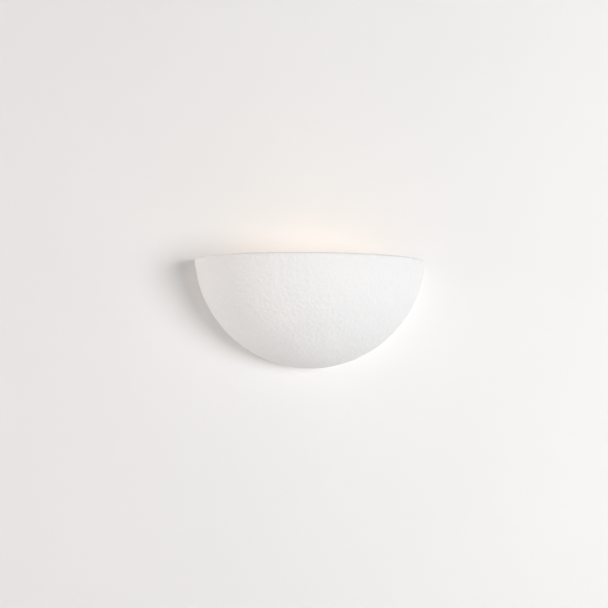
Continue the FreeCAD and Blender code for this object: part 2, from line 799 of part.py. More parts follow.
def make_led_board():
    """A round board on the collar, with a ring of light chips."""
    body = lamp_body("led_board")
    disc = Drawing(body, "disc", "XY_Plane", collar_end).circle(None, None, mm.board_diameter)
    pad(body, disc, mm.board_thickness)
    chips = Drawing(body, "chips", "XY_Plane", collar_end + mm.board_thickness)
    half = mm.chip_size / 2
    for turned in turns(SIZES["chip_count"]):
        x = mm.chip_circle / 2 * math.cos(turned)
        y = mm.chip_circle / 2 * math.sin(turned)
        chips.rectangle(x - half, y - half, x + half, y + half)
    pad(body, chips, mm.chip_height)
    return body


def make_bulb_globe():
    """The opal globe: a thin shell, open where it stands on the collar."""
    body = lamp_body("bulb_globe")
    outside = mm.globe_diameter / 2
    inside = outside - mm.globe_wall
    section = Drawing(body, "section", "XZ_Plane").outline([
        (globe_foot, collar_end, outside),
        (None, bulb_end),
        (None, bulb_end - mm.globe_wall, -inside),
        (side_of(inside, globe_centre - collar_end), collar_end)])
    turn(body, section)
    return body


def block_body(name):
    """A body whose origin is the middle of the terminal block's footprint on the plate."""
    return new_body(name, x=mm.block_offset, y=-mm.plate_thickness, z=block_height)


def clamp_places(drawing, diameter):
    for pole in POLES:
        for side in SIDES:
            drawing.circle(mm.pole_pitch * pole, mm.tower_spacing / 2 * side, diameter)
    return drawing


def fixing_places(drawing, diameter):
    for side in SIDES:
        drawing.circle(mm.pole_pitch / 2 * side, None, diameter)
    return drawing


def pole_places(drawing, diameter):
    for pole in POLES:
        drawing.circle(mm.pole_pitch * pole, -mm.tunnel_height, diameter)
    return drawing


def make_terminal_block():
    """Three poles side by side, joined by low webs, each with two screw towers."""
    body = block_body("terminal_block")
    half = mm.block_length / 2
    poles = Drawing(body, "poles", "XZ_Plane")
    for pole in POLES:
        middle = mm.pole_pitch * pole
        poles.rectangle(middle - mm.pole_width / 2, -half, middle + mm.pole_width / 2, half)
    pad(body, poles, mm.pole_height)
    web = Drawing(body, "web", "XZ_Plane").rectangle(
        -mm.pole_pitch, -half + mm.web_inset, mm.pole_pitch, half - mm.web_inset)
    pad(body, web, mm.web_height)
    pad(body, clamp_places(Drawing(body, "towers", "XZ_Plane"), mm.tower_diameter), mm.tower_height)
    shafts = Drawing(body, "shafts", "XZ_Plane", mm.tunnel_height)
    cut(body, clamp_places(shafts, mm.clamp_head_diameter + mm.clamp_shaft_slack * 2), mm.tower_height)
    tunnels = Drawing(body, "tunnels", "XY_Plane", -half)
    cut(body, pole_places(tunnels, mm.insert_diameter), mm.block_length)
    cut(body, fixing_places(Drawing(body, "fixings", "XZ_Plane"), mm.fixing_screw_diameter), mm.web_height)
    notches = Drawing(body, "notches", "XZ_Plane", mm.web_height)
    cut(body, fixing_places(notches, mm.fixing_screw_head + mm.screw_hole_slack * 2), mm.pole_height)
    return body


def make_terminal_inserts():
    """Three brass tubes, drilled across for their clamping screws."""
    body = block_body("terminal_inserts")
    tubes = Drawing(body, "tubes", "XY_Plane", -mm.insert_length / 2)
    pole_places(tubes, mm.insert_diameter)
    pole_places(tubes, mm.insert_bore)
    pad(body, tubes, mm.insert_length)
    taps = Drawing(body, "taps", "XZ_Plane", mm.tunnel_height)
    cut(body, clamp_places(taps, mm.clamp_screw_diameter), mm.insert_diameter)
    return body


def make_terminal_screws():
    """Six clamping screws down the towers, their tips just above the wires."""
    body = block_body("terminal_screws")
    tip = mm.tunnel_height + mm.lead_diameter / 2 + mm.clamp_tip_gap
    top = mm.tower_height - mm.clamp_screw_sink
    shanks = clamp_places(Drawing(body, "shanks", "XZ_Plane", tip), mm.clamp_screw_diameter)
    pad(body, shanks, top - tip)
    neck = top - mm.clamp_head_height
    heads = clamp_places(Drawing(body, "heads", "XZ_Plane", neck), mm.clamp_head_diameter)
    pad(body, heads, mm.clamp_head_height)
    slots = Drawing(body, "driver_slots", "XZ_Plane", top - mm.driver_slot_depth)
    for pole in POLES:
        for side in SIDES:
            level = mm.tower_spacing / 2 * side
            slots.rectangle(mm.pole_pitch * pole - mm.clamp_head_diameter / 2, level - mm.driver_slot / 2,
                            mm.pole_pitch * pole + mm.clamp_head_diameter / 2, level + mm.driver_slot / 2)
    cut(body, slots, mm.driver_slot_depth)
    return body


def make_block_screws():
    """Two screws through the block's web into the plate, flush with its back."""
    body = new_body("block_screws", x=mm.block_offset, z=block_height)
    neck = mm.plate_thickness + mm.web_height
    pad(body, fixing_places(Drawing(body, "shanks", "XZ_Plane"), mm.fixing_screw_diameter), neck)
    heads = fixing_places(Drawing(body, "heads", "XZ_Plane", neck), mm.fixing_screw_head)
    pad(body, heads, mm.fixing_head_height)
    slots = Drawing(body, "driver_slots", "XZ_Plane", neck + mm.fixing_head_height - mm.driver_slot_depth)
    for side in SIDES:
        middle = mm.pole_pitch / 2 * side
        slots.rectangle(middle - mm.fixing_screw_head / 2, -mm.driver_slot / 2,
                        middle + mm.fixing_screw_head / 2, mm.driver_slot / 2)
    cut(body, slots, mm.driver_slot_depth)
    return body


def earth_body(name):
    return new_body(name, x=-mm.earth_offset, z=earth_height)


def make_earth_washer():
    body = earth_body("earth_washer")
    ring = Drawing(body, "ring", "XZ_Plane", mm.plate_thickness)
    ring.circle(None, None, mm.earth_washer_diameter)
    ring.circle(None, None, mm.earth_screw_diameter + mm.screw_hole_slack * 2)
    pad(body, ring, mm.earth_washer_thickness)
    return body


def make_earth_ring():
    """A ring terminal: an eye under the screw, a neck and a barrel crimped on the earth lead."""
    body = earth_body("earth_ring")
    eye = Drawing(body, "eye", "XZ_Plane", earth_seat).circle(None, None, mm.ring_diameter)
    pad(body, eye, mm.ring_thickness)
    barrel_start = mm.ring_diameter / 2 + mm.ring_neck
    half = mm.ring_barrel / 2
    neck = Drawing(body, "neck", "XZ_Plane", earth_seat).rectangle(None, -half, barrel_start + OVERLAP, half)
    pad(body, neck, mm.ring_thickness)
    barrel = Drawing(body, "barrel", "YZ_Plane", barrel_start)
    barrel.circle(-barrel_depth, None, mm.ring_barrel)
    pad(body, barrel, mm.ring_barrel_length)
    bore = Drawing(body, "bore", "YZ_Plane", barrel_start + OVERLAP)
    cut(body, bore.circle(-barrel_depth, None, mm.lead_diameter), mm.ring_barrel_length)
    hole = Drawing(body, "hole", "XZ_Plane", earth_seat)
    cut(body, hole.circle(None, None, mm.earth_screw_diameter + mm.screw_hole_slack * 2), mm.ring_thickness)
    return body


def make_earth_screw():
    body = earth_body("earth_screw")
    neck = earth_seat + mm.ring_thickness
    pad(body, Drawing(body, "shank", "XZ_Plane").circle(None, None, mm.earth_screw_diameter), neck)
    head = Drawing(body, "head", "XZ_Plane", neck).circle(None, None, mm.earth_head_diameter)
    pad(body, head, mm.earth_head_height)
    top = neck + mm.earth_head_height
    soften(body, "head_bevel", mm.screw_head_bevel, lambda edge: spans(edge, YMin=-top, YMax=-top), CHAMFER)
    half = mm.earth_head_diameter / 2
    slot = Drawing(body, "driver_slot", "XZ_Plane", top - mm.driver_slot_depth)
    cut(body, slot.rectangle(-half, -mm.driver_slot / 2, half, mm.driver_slot / 2), mm.driver_slot_depth)
    return body


def make_lead(name, points):
    """A round lead along straight runs, joined by arcs as large as the runs allow."""
    points = [V(*[number_of(value) for value in point]) for point in points]
    edges = []
    start = points[0]
    for before, corner, after in zip(points, points[1:], points[2:]):
        inward = (before - corner).normalize()
        onward = (after - corner).normalize()
        half_turn = (math.pi - inward.getAngle(onward)) / 2
        reach = LEAD_ARC_SHARE * min((corner - before).Length, (after - corner).Length)
        radius = reach / math.tan(half_turn)
        middle = (inward + onward).normalize()
        summit = corner + middle * (radius / math.cos(half_turn) - radius)
        edges.append(Part.LineSegment(start, corner + inward * reach).toShape())
        edges.append(Part.Arc(corner + inward * reach, summit, corner + onward * reach).toShape())
        start = corner + onward * reach
        print(f"{name}: bend of radius {radius:.1f}")
    edges.append(Part.LineSegment(start, points[-1]).toShape())
    length = sum(edge.Length for edge in edges)
    path = Part.Wire(edges)
    section = Part.Wire(Part.makeCircle(number_of(mm.lead_diameter) / 2, points[0], points[1] - points[0]))
    solid = path.makePipeShell([section], True, True)
    print(f"{name}: {length:.1f} long, {solid.Volume / section_area():.1f} by its volume")
    feature = doc.addObject("Part::Feature", name)
    feature.Label = name
    feature.Shape = solid
    return feature


def section_area():
    return math.pi * number_of(mm.lead_diameter) ** 2 / 4


def lead_start(pole):
    """Where a lead begins inside its pole of the terminal block."""
    x = mm.block_offset + mm.pole_pitch * pole
    return (x, -block_front, block_height + mm.lead_in_block - mm.block_length / 2)


def make_holder_lead(name, pole, side):
    """A lead from the block down, forwards over the arm and into the back of the lampholder."""
    x, y, z = lead_start(pole)
    hole = mm.lead_hole_spacing / 2 * side
    holder_back = mm.holder_base / 2 - mm.lamp_reach
    return make_lead(name, [
        (x, y, z),
        (x, y, lead_level),
        (hole, holder_back + mm.lead_straight, lead_level),
        (hole, holder_back - mm.lead_in_holder, lead_level)])


def make_earth_lead():
    """A lead from the block down and back to the ring terminal's barrel."""
    x, y, z = lead_start(POLES[0])
    barrel_mouth = mm.ring_diameter / 2 + mm.ring_neck + mm.ring_barrel_length - mm.earth_offset
    return make_lead("lead_earth", [
        (x, y, z),
        (x, y, earth_height),
        (barrel_mouth + mm.lead_straight / 2, -barrel_depth, earth_height),
        (barrel_mouth - mm.ring_barrel_length + OVERLAP, -barrel_depth, earth_height)])


def check_and_write():
    doc.recompute()
    for item in doc.Objects:
        if {"Invalid", "Error"} & set(item.State):
            raise RuntimeError(f"{item.Label}: {item.State}")
    os.makedirs("parts", exist_ok=True)
    for part in PARTS:
        shape = part.Shape
        if shape.isNull() or not shape.isValid():
            raise RuntimeError(f"{part.Label}: bad shape")
        shape.exportStep(os.path.join("parts", part.Label + ".step"))
        print(f"{part.Label}: {len(shape.Solids)} solid(s), {shape.Volume / 1000:.2f} cm3")


PARTS = [
    make_wall_bracket(),
    make_shade_studs(),
    make_cushion_washers(),
    make_cable_bush(),
    make_lampholder_body(),
    make_lampholder_shell(),
    make_lampholder_contact(),
    make_lampholder_washers(),
    make_lampholder_screws(),
    make_terminal_block(),
    make_terminal_inserts(),
    make_terminal_screws(),
    make_block_screws(),
    make_earth_washer(),
    make_earth_ring(),
    make_earth_screw(),
    make_earth_lead(),
    make_holder_lead("lead_neutral", POLES[1], SIDES[0]),
    make_holder_lead("lead_live", POLES[2], SIDES[1]),
    make_shade(),
    make_nut_washers(),
    make_thumb_nuts(),
    make_bulb_contact(),
    make_bulb_insulator(),
    make_bulb_cap(),
    make_bulb_collar(),
    make_led_board(),
    make_bulb_globe(),
]
check_and_write()
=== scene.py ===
# %% [markdown]
# # A half-bowl uplighter, dressed around its construction model
#
# The light is a plaster bowl cut in half, hung on a flat wall with its open side up. Inside it a
# folded steel bracket carries a lampholder and a lit bulb, whose light comes out over the rim.
# The construction model already holds every piece at its real size, so this lesson only gives
# the pieces their surfaces: it loads the model, remakes the few pieces whose fine shape the
# model leaves out, paints every piece, and then sets up a wall, a camera and the lamps.
#
# Everything is in metres, +Z is up, and the wall is the plane y = 0 with the light on its -y side.

# %% Load the construction model
import json
import math

import bmesh
import bpy
import numpy as np
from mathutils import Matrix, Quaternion, Vector

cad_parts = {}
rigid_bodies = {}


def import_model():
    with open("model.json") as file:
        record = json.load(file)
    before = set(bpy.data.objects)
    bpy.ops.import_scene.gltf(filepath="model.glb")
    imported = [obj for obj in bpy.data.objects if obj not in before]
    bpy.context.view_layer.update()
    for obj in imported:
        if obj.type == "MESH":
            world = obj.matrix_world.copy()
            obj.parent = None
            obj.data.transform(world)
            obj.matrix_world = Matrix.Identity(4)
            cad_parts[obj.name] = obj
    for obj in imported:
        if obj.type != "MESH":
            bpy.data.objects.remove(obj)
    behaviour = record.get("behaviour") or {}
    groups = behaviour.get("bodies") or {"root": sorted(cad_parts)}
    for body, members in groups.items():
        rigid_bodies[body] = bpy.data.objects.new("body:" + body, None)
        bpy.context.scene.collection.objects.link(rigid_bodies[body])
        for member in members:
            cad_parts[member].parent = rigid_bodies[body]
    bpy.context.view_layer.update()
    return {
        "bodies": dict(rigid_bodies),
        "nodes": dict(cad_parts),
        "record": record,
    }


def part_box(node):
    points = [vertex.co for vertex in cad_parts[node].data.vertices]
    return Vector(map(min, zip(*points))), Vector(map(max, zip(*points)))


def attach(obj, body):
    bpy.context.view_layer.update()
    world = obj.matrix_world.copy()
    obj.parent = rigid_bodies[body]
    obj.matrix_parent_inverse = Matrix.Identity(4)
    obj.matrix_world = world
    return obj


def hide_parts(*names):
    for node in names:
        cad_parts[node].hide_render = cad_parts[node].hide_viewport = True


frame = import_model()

MM = 0.001
TURN = 2 * math.pi

# %% [markdown]
# ## Writing materials as sums
#
# A Blender material is a graph of nodes, and wiring one by hand hides the idea behind it. Here a
# small class stands for one socket of the graph and answers to + - and *, so a pattern is
# written the way one would say it: *two parts grain, less one part pits*. A second class holds
# the graph and has one method that adds any other node, and a third adds what a material needs.
# All patterns read Object coordinates, which are the same metres as everything else, so a grain
# of 2 mm is 2 mm on every piece.

# %% Helpers for materials
class Wire:
    """A number that varies over the surface: sums on wires add the Math nodes for them."""

    def __init__(self, graph, socket):
        self.graph = graph
        self.socket = socket

    def math(self, operation, first, second):
        return self.graph.node("ShaderNodeMath", {"operation": operation}, {0: first, 1: second})

    def __add__(self, other):
        return self.math("ADD", self, other)

    def __radd__(self, other):
        return self.math("ADD", other, self)

    def __sub__(self, other):
        return self.math("SUBTRACT", self, other)

    def __rsub__(self, other):
        return self.math("SUBTRACT", other, self)

    def __mul__(self, other):
        return self.math("MULTIPLY", self, other)

    def __rmul__(self, other):
        return self.math("MULTIPLY", other, self)

    def at_least(self, other):
        """The larger of two wires."""
        return self.math("MAXIMUM", self, other)

    def between(self, low, high):
        """0 below low, 1 above high, and a straight line between them."""
        settings = {"clamp": True}
        sockets = {"Value": self, "From Min": low, "From Max": high}
        return self.graph.node("ShaderNodeMapRange", settings, sockets)


class Graph:
    """The nodes of a material or of the world."""

    def __init__(self, tree):
        self.tree = tree

    def node(self, kind, settings, sockets, output=0):
        """Adds a node, gives it its settings, fills its sockets and returns one output's wire."""
        made = self.tree.nodes.new(kind)
        for name, value in settings.items():
            setattr(made, name, value)
        for name, value in sockets.items():
            if isinstance(value, Wire):
                self.tree.links.new(value.socket, made.inputs[name])
            else:
                made.inputs[name].default_value = value
        return Wire(self, made.outputs[output])

    def own(self, name):
        """The wire from a node that came with the graph."""
        return Wire(self, self.tree.nodes[name].outputs[0])

    def show(self, shader, end="Material Output"):
        """Puts a shader on the surface, or in the sky."""
        self.tree.links.new(shader.socket, self.tree.nodes[end].inputs["Surface"])


PAINTS = {}


class Paint(Graph):
    """A material with one Principled shader, and the patterns that feed it."""

    def __init__(self, slot, **constants):
        self.material = bpy.data.materials.new(slot + "_finish")
        self.material.use_nodes = True
        super().__init__(self.material.node_tree)
        self.shader = self.tree.nodes["Principled BSDF"]
        for socket, value in constants.items():
            self.shader.inputs[socket.replace("_", " ")].default_value = value
        self.place = self.node("ShaderNodeTexCoord", {}, {}, "Object")
        PAINTS[slot] = self.material

    def noise(self, size, detail=2.0, stretch=(1.0, 1.0, 1.0)):
        """Cloudy noise, mostly from 0.3 to 0.7, whose blots are about size across."""
        spread = self.node("ShaderNodeMapping", {}, {"Vector": self.place, "Scale": stretch})
        return self.node("ShaderNodeTexNoise", {}, {"Vector": spread, "Scale": 1 / size, "Detail": detail})

    def blots(self, size, detail=2.0, stretch=(1.0, 1.0, 1.0)):
        """The same noise, spread to run from 0 to 1."""
        return self.noise(size, detail, stretch).between(0.32, 0.68)

    def spots(self, size, reach):
        """1 in the middle of scattered spots about size apart, 0 beyond reach sizes from it."""
        distance = self.node("ShaderNodeTexVoronoi", {}, {"Vector": self.place, "Scale": 1 / size})
        return 1 - distance.between(0.0, reach)

    def patches(self, size):
        """A number of its own, from 0 to 1, for each of many patches about size across."""
        return self.node("ShaderNodeTexVoronoi", {}, {"Vector": self.place, "Scale": 1 / size}, "Color")

    def along(self, axis):
        """How far a point is from the origin along one axis, in metres."""
        return self.node("ShaderNodeSeparateXYZ", {}, {0: self.place}, axis)

    def mix(self, mask, first, second):
        """The first colour where mask is 0 and the second where it is 1."""
        first = (*first, 1.0) if isinstance(first, tuple) else first
        second = (*second, 1.0) if isinstance(second, tuple) else second
        return self.node("ShaderNodeMix", {"data_type": "RGBA"}, {0: mask, 6: first, 7: second}, 2)

    def feed(self, socket, wire):
        self.tree.links.new(wire.socket, self.shader.inputs[socket])

    def relief(self, height, depth):
        """Tilts the shading as if the surface rose by depth where height is 1."""
        self.feed("Normal", self.node("ShaderNodeBump", {}, {"Height": height, "Distance": depth}))


# %% [markdown]
# ## Sandy plaster
#
# The bowl is white plaster under a sandy coat. Its grains are a few millimetres across, and are
# made as real relief further down; what is smaller, the pores and the powdery bite of the
# surface, is made here as bump. The white isn't quite even either: it drifts from neutral to
# slightly warm, and the pores get painted shade, a darker colour where they sink in. A matt
# mineral paint never gives a sharp reflection, so roughness stays high everywhere.

# %% Plaster
def plaster_paint():
    paint = Paint("shade_plaster", Specular_IOR_Level=0.25)
    drift = paint.blots(60 * MM, 3.0)
    grain = paint.blots(2.4 * MM, 3.0)
    powder = paint.blots(0.7 * MM)
    shaded_pores = paint.spots(3.0 * MM, 0.30)
    white = paint.mix(drift, (0.845, 0.845, 0.845), (0.865, 0.855, 0.845))
    # The pores' darker colour is painted shade in their hollows; the powder adds a faint random darkening.
    paint.feed("Base Color", paint.mix(shaded_pores * 0.3 + powder * 0.06, white, (0.70, 0.675, 0.64)))
    paint.feed("Roughness", 0.8 + grain * 0.15)
    paint.relief(grain * 0.7 + powder * 0.12 - shaded_pores * 0.5, 0.30 * MM)


plaster_paint()

# %% [markdown]
# ## Plated steel
#
# The bracket is folded from zinc-plated sheet. Plating is a metal skin that shows what is under
# it: long faint lines from the rolling mill, cloudy patches where the bath worked unevenly, and
# here and there a breath of blue or straw from the sealing dip. The screws, studs and washers
# are brighter, because they are plated in a rolling barrel that polishes them as they tumble,
# which also leaves fine scratches that run every way.

# %% Zinc
def sheet_zinc_paint():
    paint = Paint("bracket_steel", Metallic=1.0)
    cloud = paint.blots(26 * MM, 4.0)
    milled = paint.blots(0.5 * MM, 2.0, (0.02, 1.0, 1.0))
    tint = paint.blots(40 * MM, 1.0)
    flakes = paint.patches(3.5 * MM)
    plain = paint.mix(cloud, (0.56, 0.57, 0.58), (0.68, 0.69, 0.70))
    sealed = paint.mix(tint * 0.35, plain, (0.66, 0.63, 0.52))
    paint.feed("Base Color", paint.mix(flakes * 0.18, sealed, (0.50, 0.53, 0.58)))
    paint.feed("Roughness", 0.30 + cloud * 0.10 + milled * 0.08 + flakes * 0.05)
    paint.relief(milled * 0.6 + cloud * 0.4, 0.02 * MM)


def barrel_zinc_paint():
    paint = Paint("bright_zinc", Metallic=1.0)
    cloud = paint.blots(3.0 * MM, 3.0)
    level = paint.blots(0.25 * MM, 2.0, (1.0, 0.1, 1.0))
    upright = paint.blots(0.3 * MM, 2.0, (1.0, 1.0, 0.1))
    paint.feed("Base Color", paint.mix(cloud, (0.62, 0.64, 0.67), (0.76, 0.76, 0.75)))
    paint.feed("Roughness", 0.20 + cloud * 0.08 + level * 0.06 + upright * 0.06)
    paint.relief(level + upright, 0.008 * MM)


sheet_zinc_paint()
barrel_zinc_paint()

# %% [markdown]
# ## Brass, bronze, nickel and tin
#
# These share one recipe with different numbers: a bright colour and a tarnished one mixed by
# clouds, roughness that rises with the tarnish, and a faint relief. Only small parts wear them,
# so the clouds are a few millimetres across.

# %% Small metals
def small_metal_paint(slot, bright, tarnished, cloud_size, roughness):
    paint = Paint(slot, Metallic=1.0)
    cloud = paint.blots(cloud_size, 4.0)
    fine = paint.blots(cloud_size / 12, 2.0)
    tarnish = cloud * 0.6 + fine * 0.2
    paint.feed("Base Color", paint.mix(tarnish, bright, tarnished))
    paint.feed("Roughness", roughness + tarnish * 0.2)
    paint.relief(fine, 0.01 * MM)


small_metal_paint("shell_brass", (0.83, 0.64, 0.32), (0.50, 0.34, 0.15), 5 * MM, 0.20)
small_metal_paint("nut_brass", (0.84, 0.68, 0.36), (0.60, 0.44, 0.20), 6 * MM, 0.18)
small_metal_paint("spring_bronze", (0.76, 0.50, 0.29), (0.44, 0.24, 0.12), 3 * MM, 0.24)
small_metal_paint("tinned_copper", (0.80, 0.78, 0.74), (0.62, 0.59, 0.54), 2 * MM, 0.28)
small_metal_paint("nickel_cap", (0.80, 0.78, 0.74), (0.60, 0.57, 0.52), 4 * MM, 0.16)

# %% [markdown]
# ## Porcelain
#
# Lampholders that get hot are porcelain. The clay is fired under a thick clear glaze, so there
# are two reflections: a soft one from the white body, and a sharp one from the glaze, which the
# shader's coat gives. The glaze has run a little before it froze, so it is wavy, and a few dark
# specks of iron have burnt through.

# %% Porcelain
def porcelain_paint():
    paint = Paint("porcelain", Roughness=0.4, Coat_Weight=1.0, Coat_Roughness=0.05)
    tone = paint.blots(14 * MM, 2.0)
    speck = paint.spots(3.2 * MM, 0.035)
    body = paint.mix(tone, (0.86, 0.85, 0.82), (0.90, 0.89, 0.865))
    paint.feed("Base Color", paint.mix(speck * 0.7, body, (0.28, 0.22, 0.16)))
    paint.relief(paint.blots(5 * MM, 1.0), 0.06 * MM)


porcelain_paint()

# %% [markdown]
# ## Plastics, rubber and glass
#
# Moulded plastic copies its mould, which was spark-eroded to a fine even grain, and it is never
# one colour right through: there are faint flow marks. The terminal block is unfilled nylon,
# which lets light in a little way, so it gets some subsurface scattering. Rubber is dull, with
# a pale bloom, and the insulator at the bottom of the bulb is black glass, poured hot.

# %% Plastics and rubber
def moulded_paint(slot, colour, flow_colour, roughness, grain_size, **constants):
    paint = Paint(slot, **constants)
    flow = paint.blots(9 * MM, 3.0)
    grain = paint.blots(grain_size, 2.0)
    paint.feed("Base Color", paint.mix(flow * 0.6 + grain * 0.2, colour, flow_colour))
    paint.feed("Roughness", roughness + grain * 0.1)
    paint.relief(grain, 0.02 * MM)


moulded_paint("grey_nylon", (0.28, 0.28, 0.29), (0.33, 0.33, 0.34), 0.42, 0.4 * MM)
moulded_paint("clear_nylon", (0.80, 0.80, 0.76), (0.86, 0.86, 0.83), 0.32, 0.5 * MM,
              Subsurface_Weight=0.4, Subsurface_Scale=1.5 * MM)
moulded_paint("white_collar", (0.84, 0.84, 0.83), (0.88, 0.88, 0.87), 0.28, 0.6 * MM)
moulded_paint("black_rubber", (0.035, 0.035, 0.035), (0.075, 0.072, 0.068), 0.65, 0.3 * MM)
moulded_paint("black_vitrite", (0.012, 0.012, 0.013), (0.035, 0.033, 0.03), 0.06, 1.2 * MM)
moulded_paint("neutral_pvc", (0.045, 0.15, 0.50), (0.06, 0.19, 0.58), 0.36, 0.35 * MM)
moulded_paint("live_pvc", (0.17, 0.07, 0.035), (0.23, 0.105, 0.055), 0.36, 0.35 * MM)


# %% [markdown]
# The earth lead is green with a yellow stripe along it. The lead runs down and then sideways in
# one plane, so the stripe is simply the part of its skin that faces away from the wall, which
# the surface's own direction, in the object's axes, tells.

# %% Earth lead
def earth_paint():
    paint = Paint("earth_pvc", Roughness=0.38)
    facing = paint.node("ShaderNodeTexCoord", {}, {}, "Normal")
    off_wall = 0 - paint.node("ShaderNodeSeparateXYZ", {}, {0: facing}, "Y")
    ragged = paint.blots(0.6 * MM) * 0.06
    stripe = (off_wall + ragged).between(0.42, 0.46)
    flow = paint.blots(4 * MM)
    green = paint.mix(flow, (0.05, 0.24, 0.045), (0.075, 0.30, 0.06))
    yellow = paint.mix(flow, (0.75, 0.60, 0.03), (0.80, 0.67, 0.05))
    paint.feed("Base Color", paint.mix(stripe, green, yellow))
    paint.relief(flow, 0.02 * MM)


earth_paint()

# %% [markdown]
# ## The bulb's globe and its light board
#
# The globe is opal polycarbonate. Lit from inside it is brightest over the crown and warmer and
# dimmer down by the collar, where the light has further to go. It glows just enough to read as
# lit, since a hidden lamp further down does the real lighting. The board inside is white, and
# its chips are yellow on top, from the phosphor that turns their blue light white.

# %% Lit parts
ARM_TOP = -48.5 * MM            # the bracket's arm, which the lamp stands on
GLOBE_LOW, GLOBE_HIGH = (corner.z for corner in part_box("bulb_globe"))
BOARD_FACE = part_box("led_board")[0].z + 1.6 * MM


def opal_paint():
    paint = Paint("opal_globe", Roughness=0.3, Emission_Strength=0.55)
    height = paint.along("Z").between(GLOBE_LOW, GLOBE_HIGH)
    cloud = paint.blots(8 * MM, 2.0)
    lit = (height * 0.9 + cloud * 0.1).between(0.0, 0.75)
    paint.feed("Emission Color", paint.mix(lit, (0.85, 0.52, 0.26), (1.0, 0.80, 0.56)))
    paint.feed("Base Color", paint.mix(cloud, (0.86, 0.84, 0.80), (0.90, 0.885, 0.85)))
    paint.relief(paint.blots(1.5 * MM), 0.02 * MM)


def board_paint():
    paint = Paint("white_board", Roughness=0.45)
    above = paint.along("Z") - BOARD_FACE
    chip = above.between(0.02 * MM, 0.05 * MM)
    phosphor = above.between(0.62 * MM, 0.66 * MM)
    weave = paint.blots(0.5 * MM)
    board = paint.mix(weave, (0.84, 0.84, 0.82), (0.90, 0.90, 0.88))
    cased = paint.mix(chip, board, (0.80, 0.80, 0.79))
    paint.feed("Base Color", paint.mix(phosphor, cased, (0.85, 0.66, 0.16)))
    paint.relief(weave, 0.02 * MM)


opal_paint()
board_paint()
print("finishes:", len(PAINTS))

# %% [markdown]
# ## Putting numbers into a mesh
#
# Each new piece is worked out as an array of points in rows and columns. The columns always go
# round something, so a helper lists the faces of such a grid: each joins a point to the next in
# its row, the two beyond them, and back. Two closings are enough for every piece here: a
# *spindle* is shut at both ends by a fan of triangles, and a *hoop* joins its last row to its
# first, so that its section is a ring too.

# %% Helpers for grids
def ring_faces(rows, columns):
    """Faces of a grid of rows by columns whose columns close into a ring."""
    row, column = np.meshgrid(np.arange(rows - 1), np.arange(columns), indexing="ij")
    here = row * columns + column
    beside = row * columns + (column + 1) % columns
    return np.stack([here, beside, beside + columns, here + columns], -1).reshape(-1, 4)


def fan(first, columns, middle):
    """Triangles from a ring of columns points, numbered from first, to the point middle."""
    around = np.arange(columns)
    tip = np.full(columns, middle)
    return np.stack([first + around, first + (around + 1) % columns, tip], -1)


def spindle(points):
    """A grid (rows, columns, 3) shut at both ends by fans to the middles of its end rows."""
    rows, columns, _ = points.shape
    corners = np.concatenate([points.reshape(-1, 3), points[[0, -1]].mean(axis=1)])
    low = fan(0, columns, rows * columns)[:, ::-1]
    high = fan((rows - 1) * columns, columns, rows * columns + 1)
    return corners, ring_faces(rows, columns).tolist() + low.tolist() + high.tolist()


def hoop(points):
    """A grid (rows, columns, 3) whose last row joins its first."""
    rows, columns, _ = points.shape
    return points.reshape(-1, 3), (ring_faces(rows + 1, columns) % (rows * columns)).tolist()


def merged(*parts):
    """One list of points and faces out of several."""
    starts = np.cumsum([0] + [len(points) for points, _ in parts])
    faces = [[int(start) + corner for corner in face]
             for start, (_, part) in zip(starts, parts) for face in part]
    return np.concatenate([points for points, _ in parts]), faces


# %% [markdown]
# A finished mesh still has to join the model: it rides on one of the bodies, takes its finish from
# the paint of a material slot, and hides the construction piece that it stands for. On the
# way it is measured. A closed mesh has exactly two faces on each edge, and its volume comes out
# negative if its faces point inwards, which is put right here once for every piece.
#
# Some pieces start as a copy of a construction piece. Their modifiers are applied at once, on a
# holder that is thrown away again, because the next step needs the finished points.

# %% Helpers for finished pieces
SHARP = math.radians(40)        # edges bent by less than this are shaded as round
SEAM = 0.001 * MM               # points closer than this are one point


def add_modifier(piece, kind, settings):
    modifier = piece.modifiers.new(kind.lower(), kind)
    for name, value in settings.items():
        setattr(modifier, name, value)


def modified(mesh, modifiers, chosen=()):
    """The mesh that is left after modifiers, a list of kinds and settings. The vertices numbered
    in chosen are in the vertex group of that name."""
    holder = bpy.data.objects.new("holder", mesh)
    bpy.context.scene.collection.objects.link(holder)
    if chosen:
        holder.vertex_groups.new(name="chosen").add(chosen, 1.0, "REPLACE")
    for kind, settings in modifiers:
        add_modifier(holder, kind, settings)
    bpy.context.view_layer.update()
    evaluated = holder.evaluated_get(bpy.context.evaluated_depsgraph_get())
    result = bpy.data.meshes.new_from_object(evaluated)
    bpy.data.objects.remove(holder)
    return result


def dress(name, mesh, slot, body, *replaced):
    """Turns the mesh right side out, shades and paints it, and makes it a piece of the model."""
    shape = bmesh.new()
    shape.from_mesh(mesh)
    if shape.calc_volume(signed=True) < 0:
        bmesh.ops.reverse_faces(shape, faces=shape.faces)
    closed = all(len(edge.link_faces) == 2 for edge in shape.edges)
    volume = shape.calc_volume() / MM ** 3
    shape.to_mesh(mesh)
    shape.free()
    mesh.polygons.foreach_set("use_smooth", np.ones(len(mesh.polygons), bool))
    mesh.set_sharp_from_angle(angle=SHARP)
    mesh.materials.clear()
    mesh.materials.append(PAINTS[slot])
    piece = bpy.data.objects.new(name, mesh)
    bpy.context.scene.collection.objects.link(piece)
    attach(piece, body)
    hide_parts(*replaced)
    print(f"{name}: {len(mesh.polygons)} faces, {volume:.0f} mm3,", "closed" if closed else "OPEN")
    return piece


def new_piece(name, part, slot, body, *replaced):
    """The same for a part given as points, in millimetres, and faces."""
    points, faces = part
    mesh = bpy.data.meshes.new(name)
    mesh.from_pydata(points * MM, [], faces)
    return dress(name, mesh, slot, body, *replaced)


